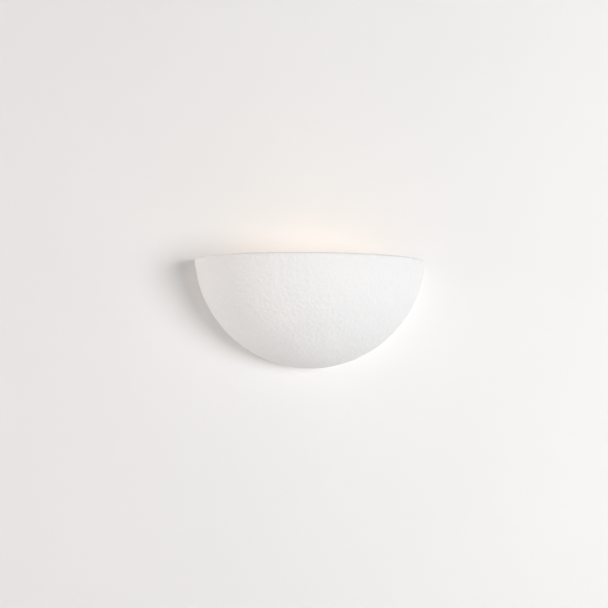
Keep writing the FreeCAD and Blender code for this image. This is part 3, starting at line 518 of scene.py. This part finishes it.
# %% [markdown]
# ## The shade: relief on an even skin
#
# The sandy relief is a function of a point in space. Random numbers sit on the corners of a
# lattice of cubes, and between them they are mixed smoothly, which gives soft bumps as wide as a
# cube. Each lattice is turned its own way, so that no two line up with each other or the bowl.

# %% Relief as numbers in space
TABLE_SIDE = 64


def lattice_noise(points, cell, seed):
    """Smooth noise from -1 to 1. The value at a point is the mean of the random numbers on the
    eight corners of its cube, each weighted by the product of 3t^2 - 2t^3 along x, y and z, where
    t runs from 0 to 1 across the cube."""
    random = np.random.default_rng(seed)
    table = random.uniform(-1.0, 1.0, (TABLE_SIDE, TABLE_SIDE, TABLE_SIDE))
    turned = points @ np.array(Quaternion(random.uniform(-1.0, 1.0, 4)).normalized().to_matrix())
    scaled = turned / cell
    corner = np.floor(scaled).astype(int)
    t = scaled - corner
    weight = t * t * (3.0 - 2.0 * t)
    total = np.zeros(len(points))
    for step in np.ndindex(2, 2, 2):
        index = (corner + step) % TABLE_SIDE
        share = np.where(step, weight, 1.0 - weight).prod(axis=1)
        total += share * table[index[:, 0], index[:, 1], index[:, 2]]
    return total


def smooth_step(value, low, high):
    """0 below low, 1 above high, and 3t^2 - 2t^3 between them."""
    t = np.clip((value - low) / (high - low), 0.0, 1.0)
    return t * t * (3.0 - 2.0 * t)


# %% [markdown]
# A cast bowl has soft edges, and no part of it is quite even. It could be drawn as a surface of
# revolution, but the band inside its back edge, the recess for the strap and the two stud holes
# would have to be cut into that. The construction model has them all, so its shape is taken over
# as it is: a copy is closed, and the Remesh modifier lays an even skin of small squares over it.
# Such a skin has no long thin faces, so it can carry relief anywhere.

# %% Lay the even skin
VOXEL = 1.22 * MM
bowl_mesh = modified(frame["nodes"]["shade"].data.copy(), [
    ("WELD", {"merge_threshold": SEAM}),
    ("REMESH", {"mode": "VOXEL", "voxel_size": VOXEL})])
print("squares on the bowl:", len(bowl_mesh.polygons))

# %% [markdown]
# The bowl is part of a ball whose centre lies a little above the rim, in line with the bowl's
# back. How far a point is from that centre tells the sandy outside from the smoother inside, and
# how far it is from the back tells the plain edge that faces the wall. Points only ever move
# inwards, by up to the coat's depth, so the finished bowl stays within its modelled size.

# %% Give the bowl its sandy coat
GRAIN = 3.3 * MM
FINE_GRAIN = 2.1 * MM
UNEVENNESS = 34 * MM
COAT = 0.85 * MM
INSIDE_SHARE = 0.35             # of the coat's depth
BACK_SHARE = 0.1
WALL = 7 * MM
HALF_WIDTH = 150 * MM
shade_low, shade_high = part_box("shade")
bowl_height = shade_high.z - shade_low.z
ball_radius = (HALF_WIDTH ** 2 + bowl_height ** 2) / (2 * bowl_height)
ball_centre = np.array([0.0, shade_high.y, shade_low.z + ball_radius])


def coated(points, normals):
    """The points moved against their normals by the coat's depth times a share from 0 to 1,
    which is a half plus half the sum of grains, fine grains and unevenness. The depth is less
    inside the bowl, and much less at its back."""
    grains = lattice_noise(points, GRAIN, 1)
    fine = lattice_noise(points, FINE_GRAIN, 2)
    uneven = lattice_noise(points, UNEVENNESS, 3)
    share = 0.5 + 0.5 * np.clip(0.55 * grains + 0.6 * fine + 0.2 * uneven, -1.0, 1.0)
    from_centre = np.linalg.norm(points - ball_centre, axis=1)
    outside = smooth_step(from_centre, ball_radius - WALL, ball_radius - WALL / 2)
    off_back = smooth_step(shade_high.y - points[:, 1], 0.3 * MM, 2.0 * MM)
    side_share = INSIDE_SHARE + (1 - INSIDE_SHARE) * outside
    depth = COAT * side_share * (BACK_SHARE + (1 - BACK_SHARE) * off_back)
    return points - normals * (depth * share)[:, None]


numbers = len(bowl_mesh.vertices) * 3
places = np.zeros(numbers)
directions = np.zeros(numbers)
bowl_mesh.vertices.foreach_get("co", places)
bowl_mesh.vertices.foreach_get("normal", directions)
places = coated(places.reshape(-1, 3), directions.reshape(-1, 3))
bowl_mesh.vertices.foreach_set("co", places.ravel())
bowl_mesh.update()

# %% [markdown]
# The inside and the back are smooth, so they can do with far fewer faces than the outside. The
# Decimate modifier joins faces where that changes least, and a vertex group tells it to do so
# on the inside and the back only.

# %% Thin the smooth side
KEPT_SHARE = 0.64
COAT_REACH = 2.5 * MM
BACK_REACH = 1.0 * MM

from_centre = np.linalg.norm(places - ball_centre, axis=1)
from_back = shade_high.y - places[:, 1]
smooth_side = (from_centre < ball_radius - COAT_REACH) | (from_back < BACK_REACH)
thinning = {"ratio": KEPT_SHARE, "vertex_group": "chosen"}
bowl_mesh = modified(bowl_mesh, [("DECIMATE", thinning)], np.nonzero(smooth_side)[0].tolist())
bowl_mesh.calc_loop_triangles()
print("triangles on the bowl:", len(bowl_mesh.loop_triangles))
dress("shade_bowl", bowl_mesh, "shade_plaster", "shade", "shade")

# %% [markdown]
# ## Edges that have been handled
#
# No real edge is perfectly sharp: sheet metal is tumbled, porcelain shrinks round in the kiln,
# and nylon copies a mould with rounded corners. The construction model leaves most of them sharp,
# and a sharp edge never catches the light. The Bevel modifier breaks the edges of a copy of such
# a piece. The copy's triangles are first merged into whole flat faces, because a bevel needs
# real edges only. Where a flat face runs into a bend, the smooth shading at their common corners
# would tip the flat face too, so the Weighted Normal modifier lets the larger face decide.

# %% Eased pieces
# Each piece with the width of its broken edges, in millimetres, and its finish.
EASED = {
    "wall_bracket": (0.30, "bracket_steel"),
    "lampholder_body": (0.45, "porcelain"),
    "terminal_block": (0.30, "clear_nylon"),
    "cable_bush": (0.25, "grey_nylon"),
    "lampholder_contact": (0.12, "spring_bronze"),
    "earth_ring": (0.15, "tinned_copper"),
}
FLAT = math.radians(0.5)        # faces bent by less than this are one flat face
BEVELLED = math.radians(32)     # edges bent by more than this are broken


def eased_mesh(node, width):
    """A closed copy of a construction piece with its sharp edges broken by width."""
    shape = bmesh.new()
    shape.from_mesh(frame["nodes"][node].data)
    bmesh.ops.remove_doubles(shape, verts=shape.verts, dist=SEAM)
    bmesh.ops.dissolve_limit(shape, angle_limit=FLAT, verts=shape.verts, edges=shape.edges)
    mesh = bpy.data.meshes.new(node + "_merged")
    shape.to_mesh(mesh)
    shape.free()
    settings = {"width": width, "segments": 1, "limit_method": "ANGLE", "angle_limit": BEVELLED}
    return modified(mesh, [("BEVEL", settings)])


for node, (width, slot) in EASED.items():
    eased_piece = dress(node + "_eased", eased_mesh(node, width * MM), slot, "root", node)
    add_modifier(eased_piece, "WEIGHTED_NORMAL", {"keep_sharp": True})

# %% [markdown]
# ## Screw threads
#
# A thread is the simplest surface that isn't a plain turned one: its radius swings between root
# and crest as a point climbs *or* as it goes round, so a single wave of (height / pitch - turn)
# draws the whole helix. Rolled sheet threads, as on the bulb's cap and the shell that it screws
# into, are a plain sine. A cut thread has straight flanks, which is a triangle wave with its
# tips cut off.
#
# The lamp's pieces stand on the bracket's arm, on one upright axis 58 mm off the wall. All turned
# shapes are worked out in millimetres.

# %% Turned shapes
LAMP_REACH = 58.0
ARM_LEVEL = ARM_TOP / MM
CAP_PITCH = 2.82
COLUMNS = 72


def angles(columns):
    return np.arange(columns) / columns * TURN


def up_the_lamp(radii, heights, columns=COLUMNS):
    """Points round the lamp's axis: x is r cos a, y is r sin a off the axis, z is the height
    above the arm. Radii are one per row, or one per row and column."""
    radii = np.broadcast_to(np.reshape(radii, (len(heights), -1)), (len(heights), columns))
    a = angles(columns)[None, :]
    heights = np.broadcast_to(np.reshape(heights, (-1, 1)), radii.shape)
    return np.stack([radii * np.cos(a), radii * np.sin(a) - LAMP_REACH, heights + ARM_LEVEL], -1)


def out_from_wall(middle, radii, distances, columns=COLUMNS):
    """Points round a level axis that leaves the wall at x = middle, z = 0: x and z go round it,
    and the distance is how far the row is from the wall."""
    radii = np.broadcast_to(np.reshape(radii, (len(distances), -1)), (len(distances), columns))
    a = angles(columns)[None, :]
    distances = np.broadcast_to(np.reshape(distances, (-1, 1)), radii.shape)
    return np.stack([middle + radii * np.cos(a), -distances, radii * np.sin(a)], -1)


def rolled_thread(heights, pitch, columns=COLUMNS):
    """From 0 in the root to 1 on the crest: half of one plus the sine of (height / pitch - turn)
    times a full turn, as rows of heights by columns."""
    turn = np.reshape(heights, (-1, 1)) / pitch - np.arange(columns)[None, :] / columns
    return 0.5 + 0.5 * np.sin(turn * TURN)


def cut_thread(heights, pitch, columns=COLUMNS):
    """The same, with straight flanks: a triangle wave stretched by a quarter and cut off."""
    turn = np.reshape(heights, (-1, 1)) / pitch - np.arange(columns)[None, :] / columns
    triangle = np.abs(turn % 1.0 * 2.0 - 1.0)
    return np.clip(triangle * 1.25 - 0.125, 0.0, 1.0)


def rounded(corners, steps=4):
    """A profile through corners (across, along, round), each cut off by its round on both sides
    and joined by a curve that leans on the corner: (1-t)^2, 2t(1-t) and t^2 parts of the three."""
    t = np.linspace(0.0, 1.0, steps + 1)[:, None]
    spots = np.array([corner[:2] for corner in corners], float)
    rows = [spots[:1]]
    for before, here, after, corner in zip(spots, spots[1:], spots[2:], corners[1:]):
        if corner[2] == 0:
            rows.append(here[None, :])
            continue
        start = here + (before - here) / np.linalg.norm(before - here) * corner[2]
        stop = here + (after - here) / np.linalg.norm(after - here) * corner[2]
        rows.append((1 - t) ** 2 * start + 2 * t * (1 - t) * here + t ** 2 * stop)
    rows.append(spots[-1:])
    return np.concatenate(rows)


# %% [markdown]
# ### The bulb's screw cap
#
# It is rolled from thin nickel-plated brass: a shoulder at the bottom, four turns of thread, and
# a plain skirt that is punched into the collar with a ring of small dents to hold it.

# %% Screw cap
CAP_LOW, CAP_HIGH = 17.6, 36.6
CAP_FOOT = 5.5                  # radius at the bottom
CAP_SHOULDER = 1.2              # the radius grows by this to the skirt, and by the rim beyond it
CAP_RIM = 0.25
CAP_THREAD = 0.75               # from root to crest
CAP_ROOT = 0.5                  # root below the skirt
DENTS = 8
DENT_DEPTH = 0.35
DENT_HALF = 0.5
DENT_HEIGHT = CAP_HIGH - 2.4


def screw_cap():
    """The radius is the skirt's, plus the thread's wave where there is thread, less the dents: a
    bell curve of the height times the twelfth power of cos (8 times the angle), where above 0."""
    heights = np.linspace(CAP_LOW, CAP_HIGH, 150)
    thread = rolled_thread(heights, CAP_PITCH)
    threaded = smooth_step(heights, CAP_LOW + 1.2, CAP_LOW + 2.6)
    threaded = threaded * (1 - smooth_step(heights, CAP_HIGH - 5.6, CAP_HIGH - 4.4))
    rim = smooth_step(heights, CAP_HIGH - 1.0, CAP_HIGH - 0.3)
    shoulder = smooth_step(heights, CAP_LOW - 0.4, CAP_LOW + 1.5)
    plain = CAP_FOOT + CAP_SHOULDER * shoulder + CAP_RIM * rim
    radii = plain[:, None] + threaded[:, None] * (thread * CAP_THREAD - CAP_ROOT)
    punched = np.exp(-((heights - DENT_HEIGHT) / DENT_HALF) ** 2)[:, None]
    dents = np.maximum(np.cos(angles(COLUMNS) * DENTS), 0.0)[None, :] ** 12
    return spindle(up_the_lamp(radii - DENT_DEPTH * punched * dents, heights))


new_piece("bulb_cap_thread", screw_cap(), "nickel_cap", "bulb", "bulb_cap")

# %% [markdown]
# ### The lampholder's shell
#
# The brass shell has the same thread pressed through it, so inside and outside swing together
# and the wall stays 0.4 mm. A flat lip rests in the mouth of the porcelain. The thread is kept
# shallow, so the bulb can be drawn straight out in the model without cutting through it.

# %% Lampholder shell
SHELL_LOW, SHELL_LIP = 12.0, 31.0
SHELL_BORE = 7.2                # radius
SHELL_WALL = 0.4
SHELL_THREAD = 0.3              # from root to crest
LIP_RADIUS = 8.95
LIP_TOP = SHELL_LIP + 0.55


def threaded_shell():
    """One closed section from the bottom up the outside, round the lip and down the inside. The
    inner radius is the bore's plus the thread's wave, half of it inwards and half outwards."""
    up = np.linspace(SHELL_LOW, SHELL_LIP - 0.8, 120)
    threaded = smooth_step(up, SHELL_LOW + 0.5, SHELL_LOW + 1.5)
    threaded = threaded * (1 - smooth_step(up, SHELL_LIP - 3.0, SHELL_LIP - 1.5))
    inside = SHELL_BORE + threaded[:, None] * SHELL_THREAD * (rolled_thread(up, CAP_PITCH) - 0.5)
    lip = rounded([
        (SHELL_BORE + 0.45, SHELL_LIP - 0.7, 0), (SHELL_BORE + 0.5, SHELL_LIP, 0.3),
        (LIP_RADIUS, SHELL_LIP, 0), (LIP_RADIUS, LIP_TOP, 0.2),
        (SHELL_BORE, LIP_TOP, 0.5), (SHELL_BORE, SHELL_LIP - 0.7, 0)])
    lip_radii = np.repeat(lip[:, :1], COLUMNS, axis=1)
    radii = np.concatenate([inside + SHELL_WALL, lip_radii, inside[::-1]])
    heights = np.concatenate([up, lip[:, 1], up[::-1]])
    return hoop(up_the_lamp(radii, heights))


new_piece("lampholder_shell_thread", threaded_shell(), "shell_brass", "root", "lampholder_shell")

# %% [markdown]
# ### The bulb's collar
#
# The collar is a plain turned form: a short belt, then a flare that follows an arc and ends
# under the globe in a fine groove, where the two are glued.

# %% Collar
GLOBE_RADIUS = 22.5
GLOBE_WALL = 1.2
GLOBE_CENTRE = 65.6
GLOBE_MOUTH = 33.6 / 2
COLLAR_FOOT = 8.2
COLLAR_BELT = CAP_HIGH + 3.0
COLLAR_END = GLOBE_CENTRE - math.sqrt(GLOBE_RADIUS ** 2 - GLOBE_MOUTH ** 2)
COLLAR_CURVE = 16.0
BULB_COLUMNS = 96


def arc(start, stop, radius, steps):
    """Points from start to stop along a circle of that radius which bulges to the left of the
    way: its centre is on the right, and the points are the chord's middle seen from there."""
    start, stop = np.array(start), np.array(stop)
    chord = stop - start
    half = np.linalg.norm(chord) / 2
    right = np.array([chord[1], -chord[0]]) / (2 * half)
    centre = (start + stop) / 2 + right * math.sqrt(radius ** 2 - half ** 2)
    first = math.atan2(*(start - centre)[::-1])
    sweep = 2 * math.asin(half / radius)
    turn = first - np.linspace(0.0, sweep, steps)
    return centre + radius * np.stack([np.cos(turn), np.sin(turn)], -1)


def collar():
    """A turned profile: foot and belt, then an arc outwards, then the groove under the globe."""
    foot = rounded([(COLLAR_FOOT - 1.2, CAP_HIGH, 0), (COLLAR_FOOT, CAP_HIGH, 0.5),
                    (COLLAR_FOOT, COLLAR_BELT, 0)])
    flare = arc((COLLAR_FOOT, COLLAR_BELT), (GLOBE_MOUTH - 0.25, COLLAR_END - 1.0), COLLAR_CURVE, 40)
    groove = rounded([(GLOBE_MOUTH - 0.15, COLLAR_END - 0.9, 0), (GLOBE_MOUTH, COLLAR_END - 0.6, 0.1),
                      (GLOBE_MOUTH, COLLAR_END, 0.2), (GLOBE_MOUTH - 1.0, COLLAR_END, 0)])
    profile = np.concatenate([foot, flare[1:], groove])
    return spindle(up_the_lamp(profile[:, 0], profile[:, 1], BULB_COLUMNS))


new_piece("bulb_collar_flare", collar(), "white_collar", "bulb", "bulb_collar")

# %% [markdown]
# ### The globe
#
# The globe is a thin shell, so it is drawn as a bell: an outer and an inner skin, each with its
# own crown, joined at the mouth.

# %% Globe
CROWN_STEPS = 56


def globe_skin(radius):
    """Rows from the mouth towards the crown: the angle above the equator goes up in even steps,
    the row's radius is r cos b and its height is r sin b above the globe's centre. The crown's
    own point is left to the fan."""
    low = math.asin((COLLAR_END - GLOBE_CENTRE) / radius)
    b = np.linspace(low, math.pi / 2, CROWN_STEPS)[:-1]
    return up_the_lamp(radius * np.cos(b), GLOBE_CENTRE + radius * np.sin(b), BULB_COLUMNS)


def bell(outer, inner):
    """Two skins of the same size, rows from mouth to crown, each crown shut by a fan and the two
    mouths joined."""
    rows, columns, _ = outer.shape
    count = rows * columns
    crowns = np.stack([outer[-1].mean(axis=0), inner[-1].mean(axis=0)])
    crowns[:, 2] = ARM_LEVEL + GLOBE_CENTRE + np.array([GLOBE_RADIUS, GLOBE_RADIUS - GLOBE_WALL])
    corners = np.concatenate([outer.reshape(-1, 3), inner.reshape(-1, 3), crowns])
    skin = ring_faces(rows, columns)
    around = np.arange(columns)
    beside = (around + 1) % columns
    mouth = np.stack([beside, around, around + count, beside + count], -1)
    top = (rows - 1) * columns
    outer_crown = fan(top, columns, 2 * count)
    inner_crown = fan(count + top, columns, 2 * count + 1)[:, ::-1]
    walls = [skin, (skin + count)[:, ::-1], mouth, outer_crown, inner_crown]
    return corners, [face for wall_faces in walls for face in wall_faces.tolist()]


globe_shell = bell(globe_skin(GLOBE_RADIUS), globe_skin(GLOBE_RADIUS - GLOBE_WALL))
globe = new_piece("bulb_globe_opal", globe_shell, "opal_globe", "bulb", "bulb_globe")

# %% [markdown]
# ### The studs
#
# The studs are cut with a 5 mm thread of 0.8 mm pitch from the cushion washer to the tip. They
# stand a fixed way outside the round window that the shade's band leaves open at the back, level
# with the middle of the bracket.

# %% Studs
BAND = 28.0
STUD_OFF_WINDOW = 11.5
WINDOW_RADIUS = (ball_radius - WALL) / MM - BAND
STUD_HALF = math.sqrt((WINDOW_RADIUS + STUD_OFF_WINDOW) ** 2 - (ball_centre[2] / MM) ** 2)
STUD_RADIUS = 2.5
STUD_REACH = 23.0
STUD_PLAIN = 2.7                # unthreaded length at the wall
STUD_PITCH = 0.8
STUD_GROOVE = 0.42
STUD_TIP = 0.8                  # how much narrower the tip is
STUD_CORE = 1.6                 # least radius
STUD_COLUMNS = 24


def stud(middle):
    """The radius is the stud's, less the groove's depth times one minus the thread's wave, less
    a slope at the tip."""
    ends = rounded([(STUD_RADIUS - 0.6, 0.0, 0), (STUD_RADIUS, 0.0, 0.15),
                    (STUD_RADIUS, STUD_PLAIN - 0.1, 0)])
    distances = np.linspace(STUD_PLAIN, STUD_REACH - 0.1, 200)
    threaded = smooth_step(distances, STUD_PLAIN, STUD_PLAIN + 0.9)
    tip = STUD_TIP * smooth_step(distances, STUD_REACH - 0.9, STUD_REACH)
    groove = STUD_GROOVE * threaded[:, None] * (1 - cut_thread(distances, STUD_PITCH, STUD_COLUMNS))
    radii = np.maximum(STUD_RADIUS - groove - tip[:, None], STUD_CORE)
    radii = np.concatenate([np.repeat(ends[:, :1], STUD_COLUMNS, axis=1), radii])
    distances = np.concatenate([ends[:, 1], distances])
    return spindle(out_from_wall(middle, radii, distances, STUD_COLUMNS))


both_studs = merged(stud(-STUD_HALF), stud(STUD_HALF))
new_piece("shade_studs_thread", both_studs, "bright_zinc", "root", "shade_studs")

# %% [markdown]
# ### The thumb nuts
#
# The thumb nuts are turned brass: a plain collar, and a head whose edge is scalloped for the
# fingers. Going round the head, the radius dips by a smooth hollow at each of its twelve grips.

# %% Thumb nuts
NUT_START = 10.0
NUT_COLLAR = 5.0
NUT_COLLAR_END = NUT_START + 4.0
NUT_HEAD = 8.0
NUT_END = NUT_COLLAR_END + 5.0
NUT_BORE = 2.58
FACE_GROOVE = 5.9               # radius of the fine groove turned into the face
GRIPS = 12
GRIP_DEPTH = 1.1
NUT_COLUMNS = 216


def thumb_nut(middle):
    """A turned profile whose radius, in the head alone, is less by the grips' depth times cos (12
    times the angle) to the power 1.5, where that is above 0."""
    profile = rounded([
        (NUT_BORE, NUT_START, 0), (NUT_COLLAR, NUT_START, 0.35), (NUT_COLLAR, NUT_COLLAR_END, 0.3),
        (NUT_HEAD, NUT_COLLAR_END, 0.6), (NUT_HEAD, NUT_END, 0.7), (FACE_GROOVE + 0.3, NUT_END, 0.1),
        (FACE_GROOVE, NUT_END - 0.25, 0.1), (FACE_GROOVE - 0.3, NUT_END, 0.1), (NUT_BORE + 0.5, NUT_END, 0.1),
        (NUT_BORE, NUT_END - 0.5, 0.1), (NUT_BORE, NUT_START + 0.2, 0)], 5)
    hollow = np.maximum(np.cos(angles(NUT_COLUMNS) * GRIPS), 0.0) ** 1.5
    in_head = smooth_step(profile[:, 0], 6.4, 7.4)
    radii = profile[:, :1] - GRIP_DEPTH * in_head[:, None] * hollow[None, :]
    return hoop(out_from_wall(middle, radii, profile[:, 1], NUT_COLUMNS))


both_nuts = merged(thumb_nut(-STUD_HALF), thumb_nut(STUD_HALF))
new_piece("thumb_nuts_scalloped", both_nuts, "nut_brass", "shade", "thumb_nuts")

# %% [markdown]
# ## Paint what is carried over
#
# The rest of the pieces are small and already have their full shape in the construction model.
# They stay as they are and only change their paint for the one of their material slot.

# %% Paint the construction pieces
for subpart in frame["record"]["subparts"]:
    for material_slot in frame["nodes"][subpart["node"]].material_slots:
        material_slot.material = PAINTS[subpart["material_slot"]]

# %% [markdown]
# ## The stage
#
# The light hangs on a wall, and its shadow and its glow on that wall are half of how it looks, so
# the backdrop is a plain pale wall just behind the bracket, with a plain pale floor far below.
# The wall's back is clear, so that a camera behind it sees the back of the light, and it casts
# no shadow, so that a lamp behind it can light that back.

# %% Wall and floor
STAGE_HALF = 3.0
FLOOR_DROP = 1.0
WALL_GAP = 0.1 * MM
WALL_WHITE = (0.86, 0.85, 0.84)
FLOOR_WHITE = (0.64, 0.635, 0.63)
FLOOR_SHOWN = (0.78, 0.775, 0.77)
SHOWN_SHARE = 0.8
CLOUD_SIZE = 0.25               # metres
CLOUD_SHADE = 0.985


def stage_sheet(name, corners, colour):
    """A painted rectangle of the stage, and its paint."""
    paint = Paint(name, Roughness=0.9, Specular_IOR_Level=0.2)
    shade = tuple(channel * CLOUD_SHADE for channel in colour)
    paint.feed("Base Color", paint.mix(paint.blots(CLOUD_SIZE, 3.0), colour, shade))
    mesh = bpy.data.meshes.new(name)
    mesh.from_pydata(corners, [], [(0, 1, 2, 3)])
    mesh.materials.append(paint.material)
    sheet = bpy.data.objects.new(name, mesh)
    bpy.context.scene.collection.objects.link(sheet)
    return sheet, paint


wall, wall_paint = stage_sheet("stage_wall", [
    (-STAGE_HALF, WALL_GAP, -FLOOR_DROP), (STAGE_HALF, WALL_GAP, -FLOOR_DROP),
    (STAGE_HALF, WALL_GAP, STAGE_HALF), (-STAGE_HALF, WALL_GAP, STAGE_HALF)], WALL_WHITE)
floor, floor_paint = stage_sheet("stage_floor", [
    (-STAGE_HALF, -STAGE_HALF, -FLOOR_DROP), (STAGE_HALF, -STAGE_HALF, -FLOOR_DROP),
    (STAGE_HALF, STAGE_HALF, -FLOOR_DROP), (-STAGE_HALF, STAGE_HALF, -FLOOR_DROP)], FLOOR_WHITE)

# The floor is far from the lamps, so what a camera sees of it is mostly its own pale colour.
seen = floor_paint.node("ShaderNodeLightPath", {}, {}, "Is Camera Ray") * SHOWN_SHARE
pale = floor_paint.node("ShaderNodeEmission", {}, {"Color": (*FLOOR_SHOWN, 1.0)})
shaders = {0: seen, 1: floor_paint.own("Principled BSDF"), 2: pale}
floor_paint.show(floor_paint.node("ShaderNodeMixShader", {}, shaders))

behind = wall_paint.node("ShaderNodeNewGeometry", {}, {}, "Backfacing")
clear = wall_paint.node("ShaderNodeBsdfTransparent", {}, {})
shaders = {0: behind, 1: wall_paint.own("Principled BSDF"), 2: clear}
wall_paint.show(wall_paint.node("ShaderNodeMixShader", {}, shaders))
wall.visible_shadow = False
print("stage:", wall.name, "and", floor.name, STAGE_HALF * 2, "m wide")

# %% [markdown]
# ## The room
#
# A little warm light comes from the whole room, which the world gives. What a camera, a shiny
# metal or a clear glass sees beyond the stage is a pale backdrop instead.

# %% World
ROOM_LIGHT = (1.0, 0.95, 0.90, 1.0)
ROOM_STRENGTH = 0.20
SHOWN_LIGHT = (0.86, 0.85, 0.84, 1.0)
world = bpy.data.worlds.new("studio")
bpy.context.scene.world = world
world.use_nodes = True
background = world.node_tree.nodes["Background"]
background.inputs["Color"].default_value = ROOM_LIGHT
background.inputs["Strength"].default_value = ROOM_STRENGTH

sky = Graph(world.node_tree)
seen = sky.node("ShaderNodeLightPath", {}, {}, "Is Camera Ray")
for kind in ("Is Glossy Ray", "Is Transmission Ray"):
    seen = seen.at_least(sky.node("ShaderNodeLightPath", {}, {}, kind))
backdrop = sky.node("ShaderNodeBackground", {}, {"Color": SHOWN_LIGHT})
shaders = {0: seen, 1: sky.own("Background"), 2: backdrop}
sky.show(sky.node("ShaderNodeMixShader", {}, shaders), "World Output")
print("room light:", ROOM_STRENGTH)

# %% [markdown]
# ## Lamps
#
# The key is one big soft disc to the right, 35 degrees off square to the wall and level with the
# light, so the shadow falls level to the left and its edge is as wide as the disc looks from the
# wall. A much wider, warmer disc on the left fills the bowl's dark side, as a window there would.
# The bright side of a room is wider than one disc, though, and nothing on the left throws a
# shadow across the wall. So that disc leaves the wall out, and the wall has a twin of it, a
# little weaker, that nothing else stops. A lamp behind the wall is only there for views of the
# back.
#
# Light adds up, so the levels hardly need guessing: the scene was rendered once for each lamp
# alone, the levels are those whose sum comes closest to the tones that were wanted, and the
# wall's own disc and the bulb were then set by trying.

# %% Lamps
def add_lamp(name, kind, place, power, colour, size):
    """A lamp of power watts and size metres that shines towards the origin."""
    data = bpy.data.lights.new(name, kind)
    data.energy = power
    data.color = colour
    if kind == "AREA":
        data.shape = "DISK"
        data.size = size
    else:
        data.shadow_soft_size = size
    lamp = bpy.data.objects.new(name, data)
    lamp.location = place
    lamp.rotation_mode = "QUATERNION"
    lamp.rotation_quaternion = (-Vector(place)).to_track_quat("-Z", "Y")
    bpy.context.scene.collection.objects.link(lamp)
    return lamp


KEY_DISTANCE = 2.6
KEY_PLACE = Vector((0.70, -1.0, 0.03)).normalized() * KEY_DISTANCE
KEY_COLOUR = (0.947, 0.971, 1.0)
FILL_PLACE = Vector((-2.5, -1.5, 0.5))
FILL_COLOUR = (1.0, 0.948, 0.921)
FILL_SIZE = 3.2
BACK_PLACE = Vector((0.5, 1.3, 0.3))
BACK_COLOUR = (1.0, 0.98, 0.96)
add_lamp("key", "AREA", KEY_PLACE, 44.6, KEY_COLOUR, 1.15)
fill = add_lamp("fill_left", "AREA", FILL_PLACE, 46.3, FILL_COLOUR, FILL_SIZE)
add_lamp("back", "AREA", BACK_PLACE, 5.5, BACK_COLOUR, 1.6)
wall_fill = add_lamp("wall_fill", "AREA", FILL_PLACE, 38.0, FILL_COLOUR, FILL_SIZE)

wall_only = bpy.data.collections.new("wall_only")
wall_only.objects.link(wall)
all_but_wall = bpy.data.collections.new("all_but_wall")
all_but_wall.objects.link(wall)
all_but_wall.collection_objects[0].light_linking.link_state = "EXCLUDE"
fill.light_linking.receiver_collection = all_but_wall
wall_fill.light_linking.receiver_collection = wall_only
wall_fill.light_linking.blocker_collection = wall_only
print("lamps:", [lamp.name for lamp in bpy.data.lights])

# %% [markdown]
# The bulb's own light is a small round lamp in the middle of the globe. A real globe spreads its
# light through its skin; here the globe simply doesn't stop it, while everything else does, so
# the light leaves over the rim just as it would. Much of that light first meets the white inside
# of the bowl, which sends it up again as one broad soft source; a wide lamp that lies in the
# bowl's mouth adds that share without the noise of many bounces. Both are carried by the body
# that they belong to, and go where it goes.

# %% Bulb light
WARM = (1.0, 0.69, 0.395)
BULB_PLACE = Vector((0.0, -LAMP_REACH * MM, ARM_TOP + GLOBE_CENTRE * MM))
bulb_light = add_lamp("bulb_light", "POINT", BULB_PLACE, 0.032, WARM, 18 * MM)
bulb_light.parent = frame["bodies"]["bulb"]
globe.visible_shadow = False

MOUTH_PLACE = Vector((0.0, -62 * MM, 30 * MM))
MOUTH_WIDTH, MOUTH_DEPTH = 200 * MM, 60 * MM
bowl_light = add_lamp("bowl_light", "AREA", MOUTH_PLACE, 0.025, WARM, MOUTH_WIDTH)
bowl_light.data.shape = "RECTANGLE"
bowl_light.data.size_y = MOUTH_DEPTH
bowl_light.rotation_quaternion = Quaternion((1, 0, 0), math.pi)
bowl_light.parent = frame["bodies"]["shade"]
for light in (bulb_light, bowl_light):
    light.visible_camera = False
    light.visible_glossy = False
print("carried lights:", bulb_light.name, "and", bowl_light.name)

# %% [markdown]
# ## Camera
#
# The photograph was taken from a little below the rim. The camera's place, its turn and its
# focal length were fitted to the bowl's outline; its distance is a guess that suits it.

# %% Camera
PHOTO_SIDE = 608                # pixels
FOCAL = 933.6                   # pixels
CAMERA_PLACE = Vector((-0.200, -1.200, -0.0456))
YAW = math.radians(-9.14)
TILT = math.radians(1.63)
ROLL = math.radians(0.49)

camera_data = bpy.data.cameras.new("camera")
camera_data.lens = FOCAL / PHOTO_SIDE * camera_data.sensor_width
camera = bpy.data.objects.new("camera", camera_data)
bpy.context.scene.collection.objects.link(camera)
bpy.context.scene.camera = camera
ahead = Vector((-math.sin(YAW) * math.cos(TILT), math.cos(YAW) * math.cos(TILT), math.sin(TILT)))
camera.rotation_mode = "QUATERNION"
camera.rotation_quaternion = ahead.to_track_quat("-Z", "Y") @ Quaternion((0, 0, 1), ROLL)
camera.location = CAMERA_PLACE
print(f"camera: {camera_data.lens:.1f} mm lens")
bpy.context.scene.view_settings.view_transform = "Standard"
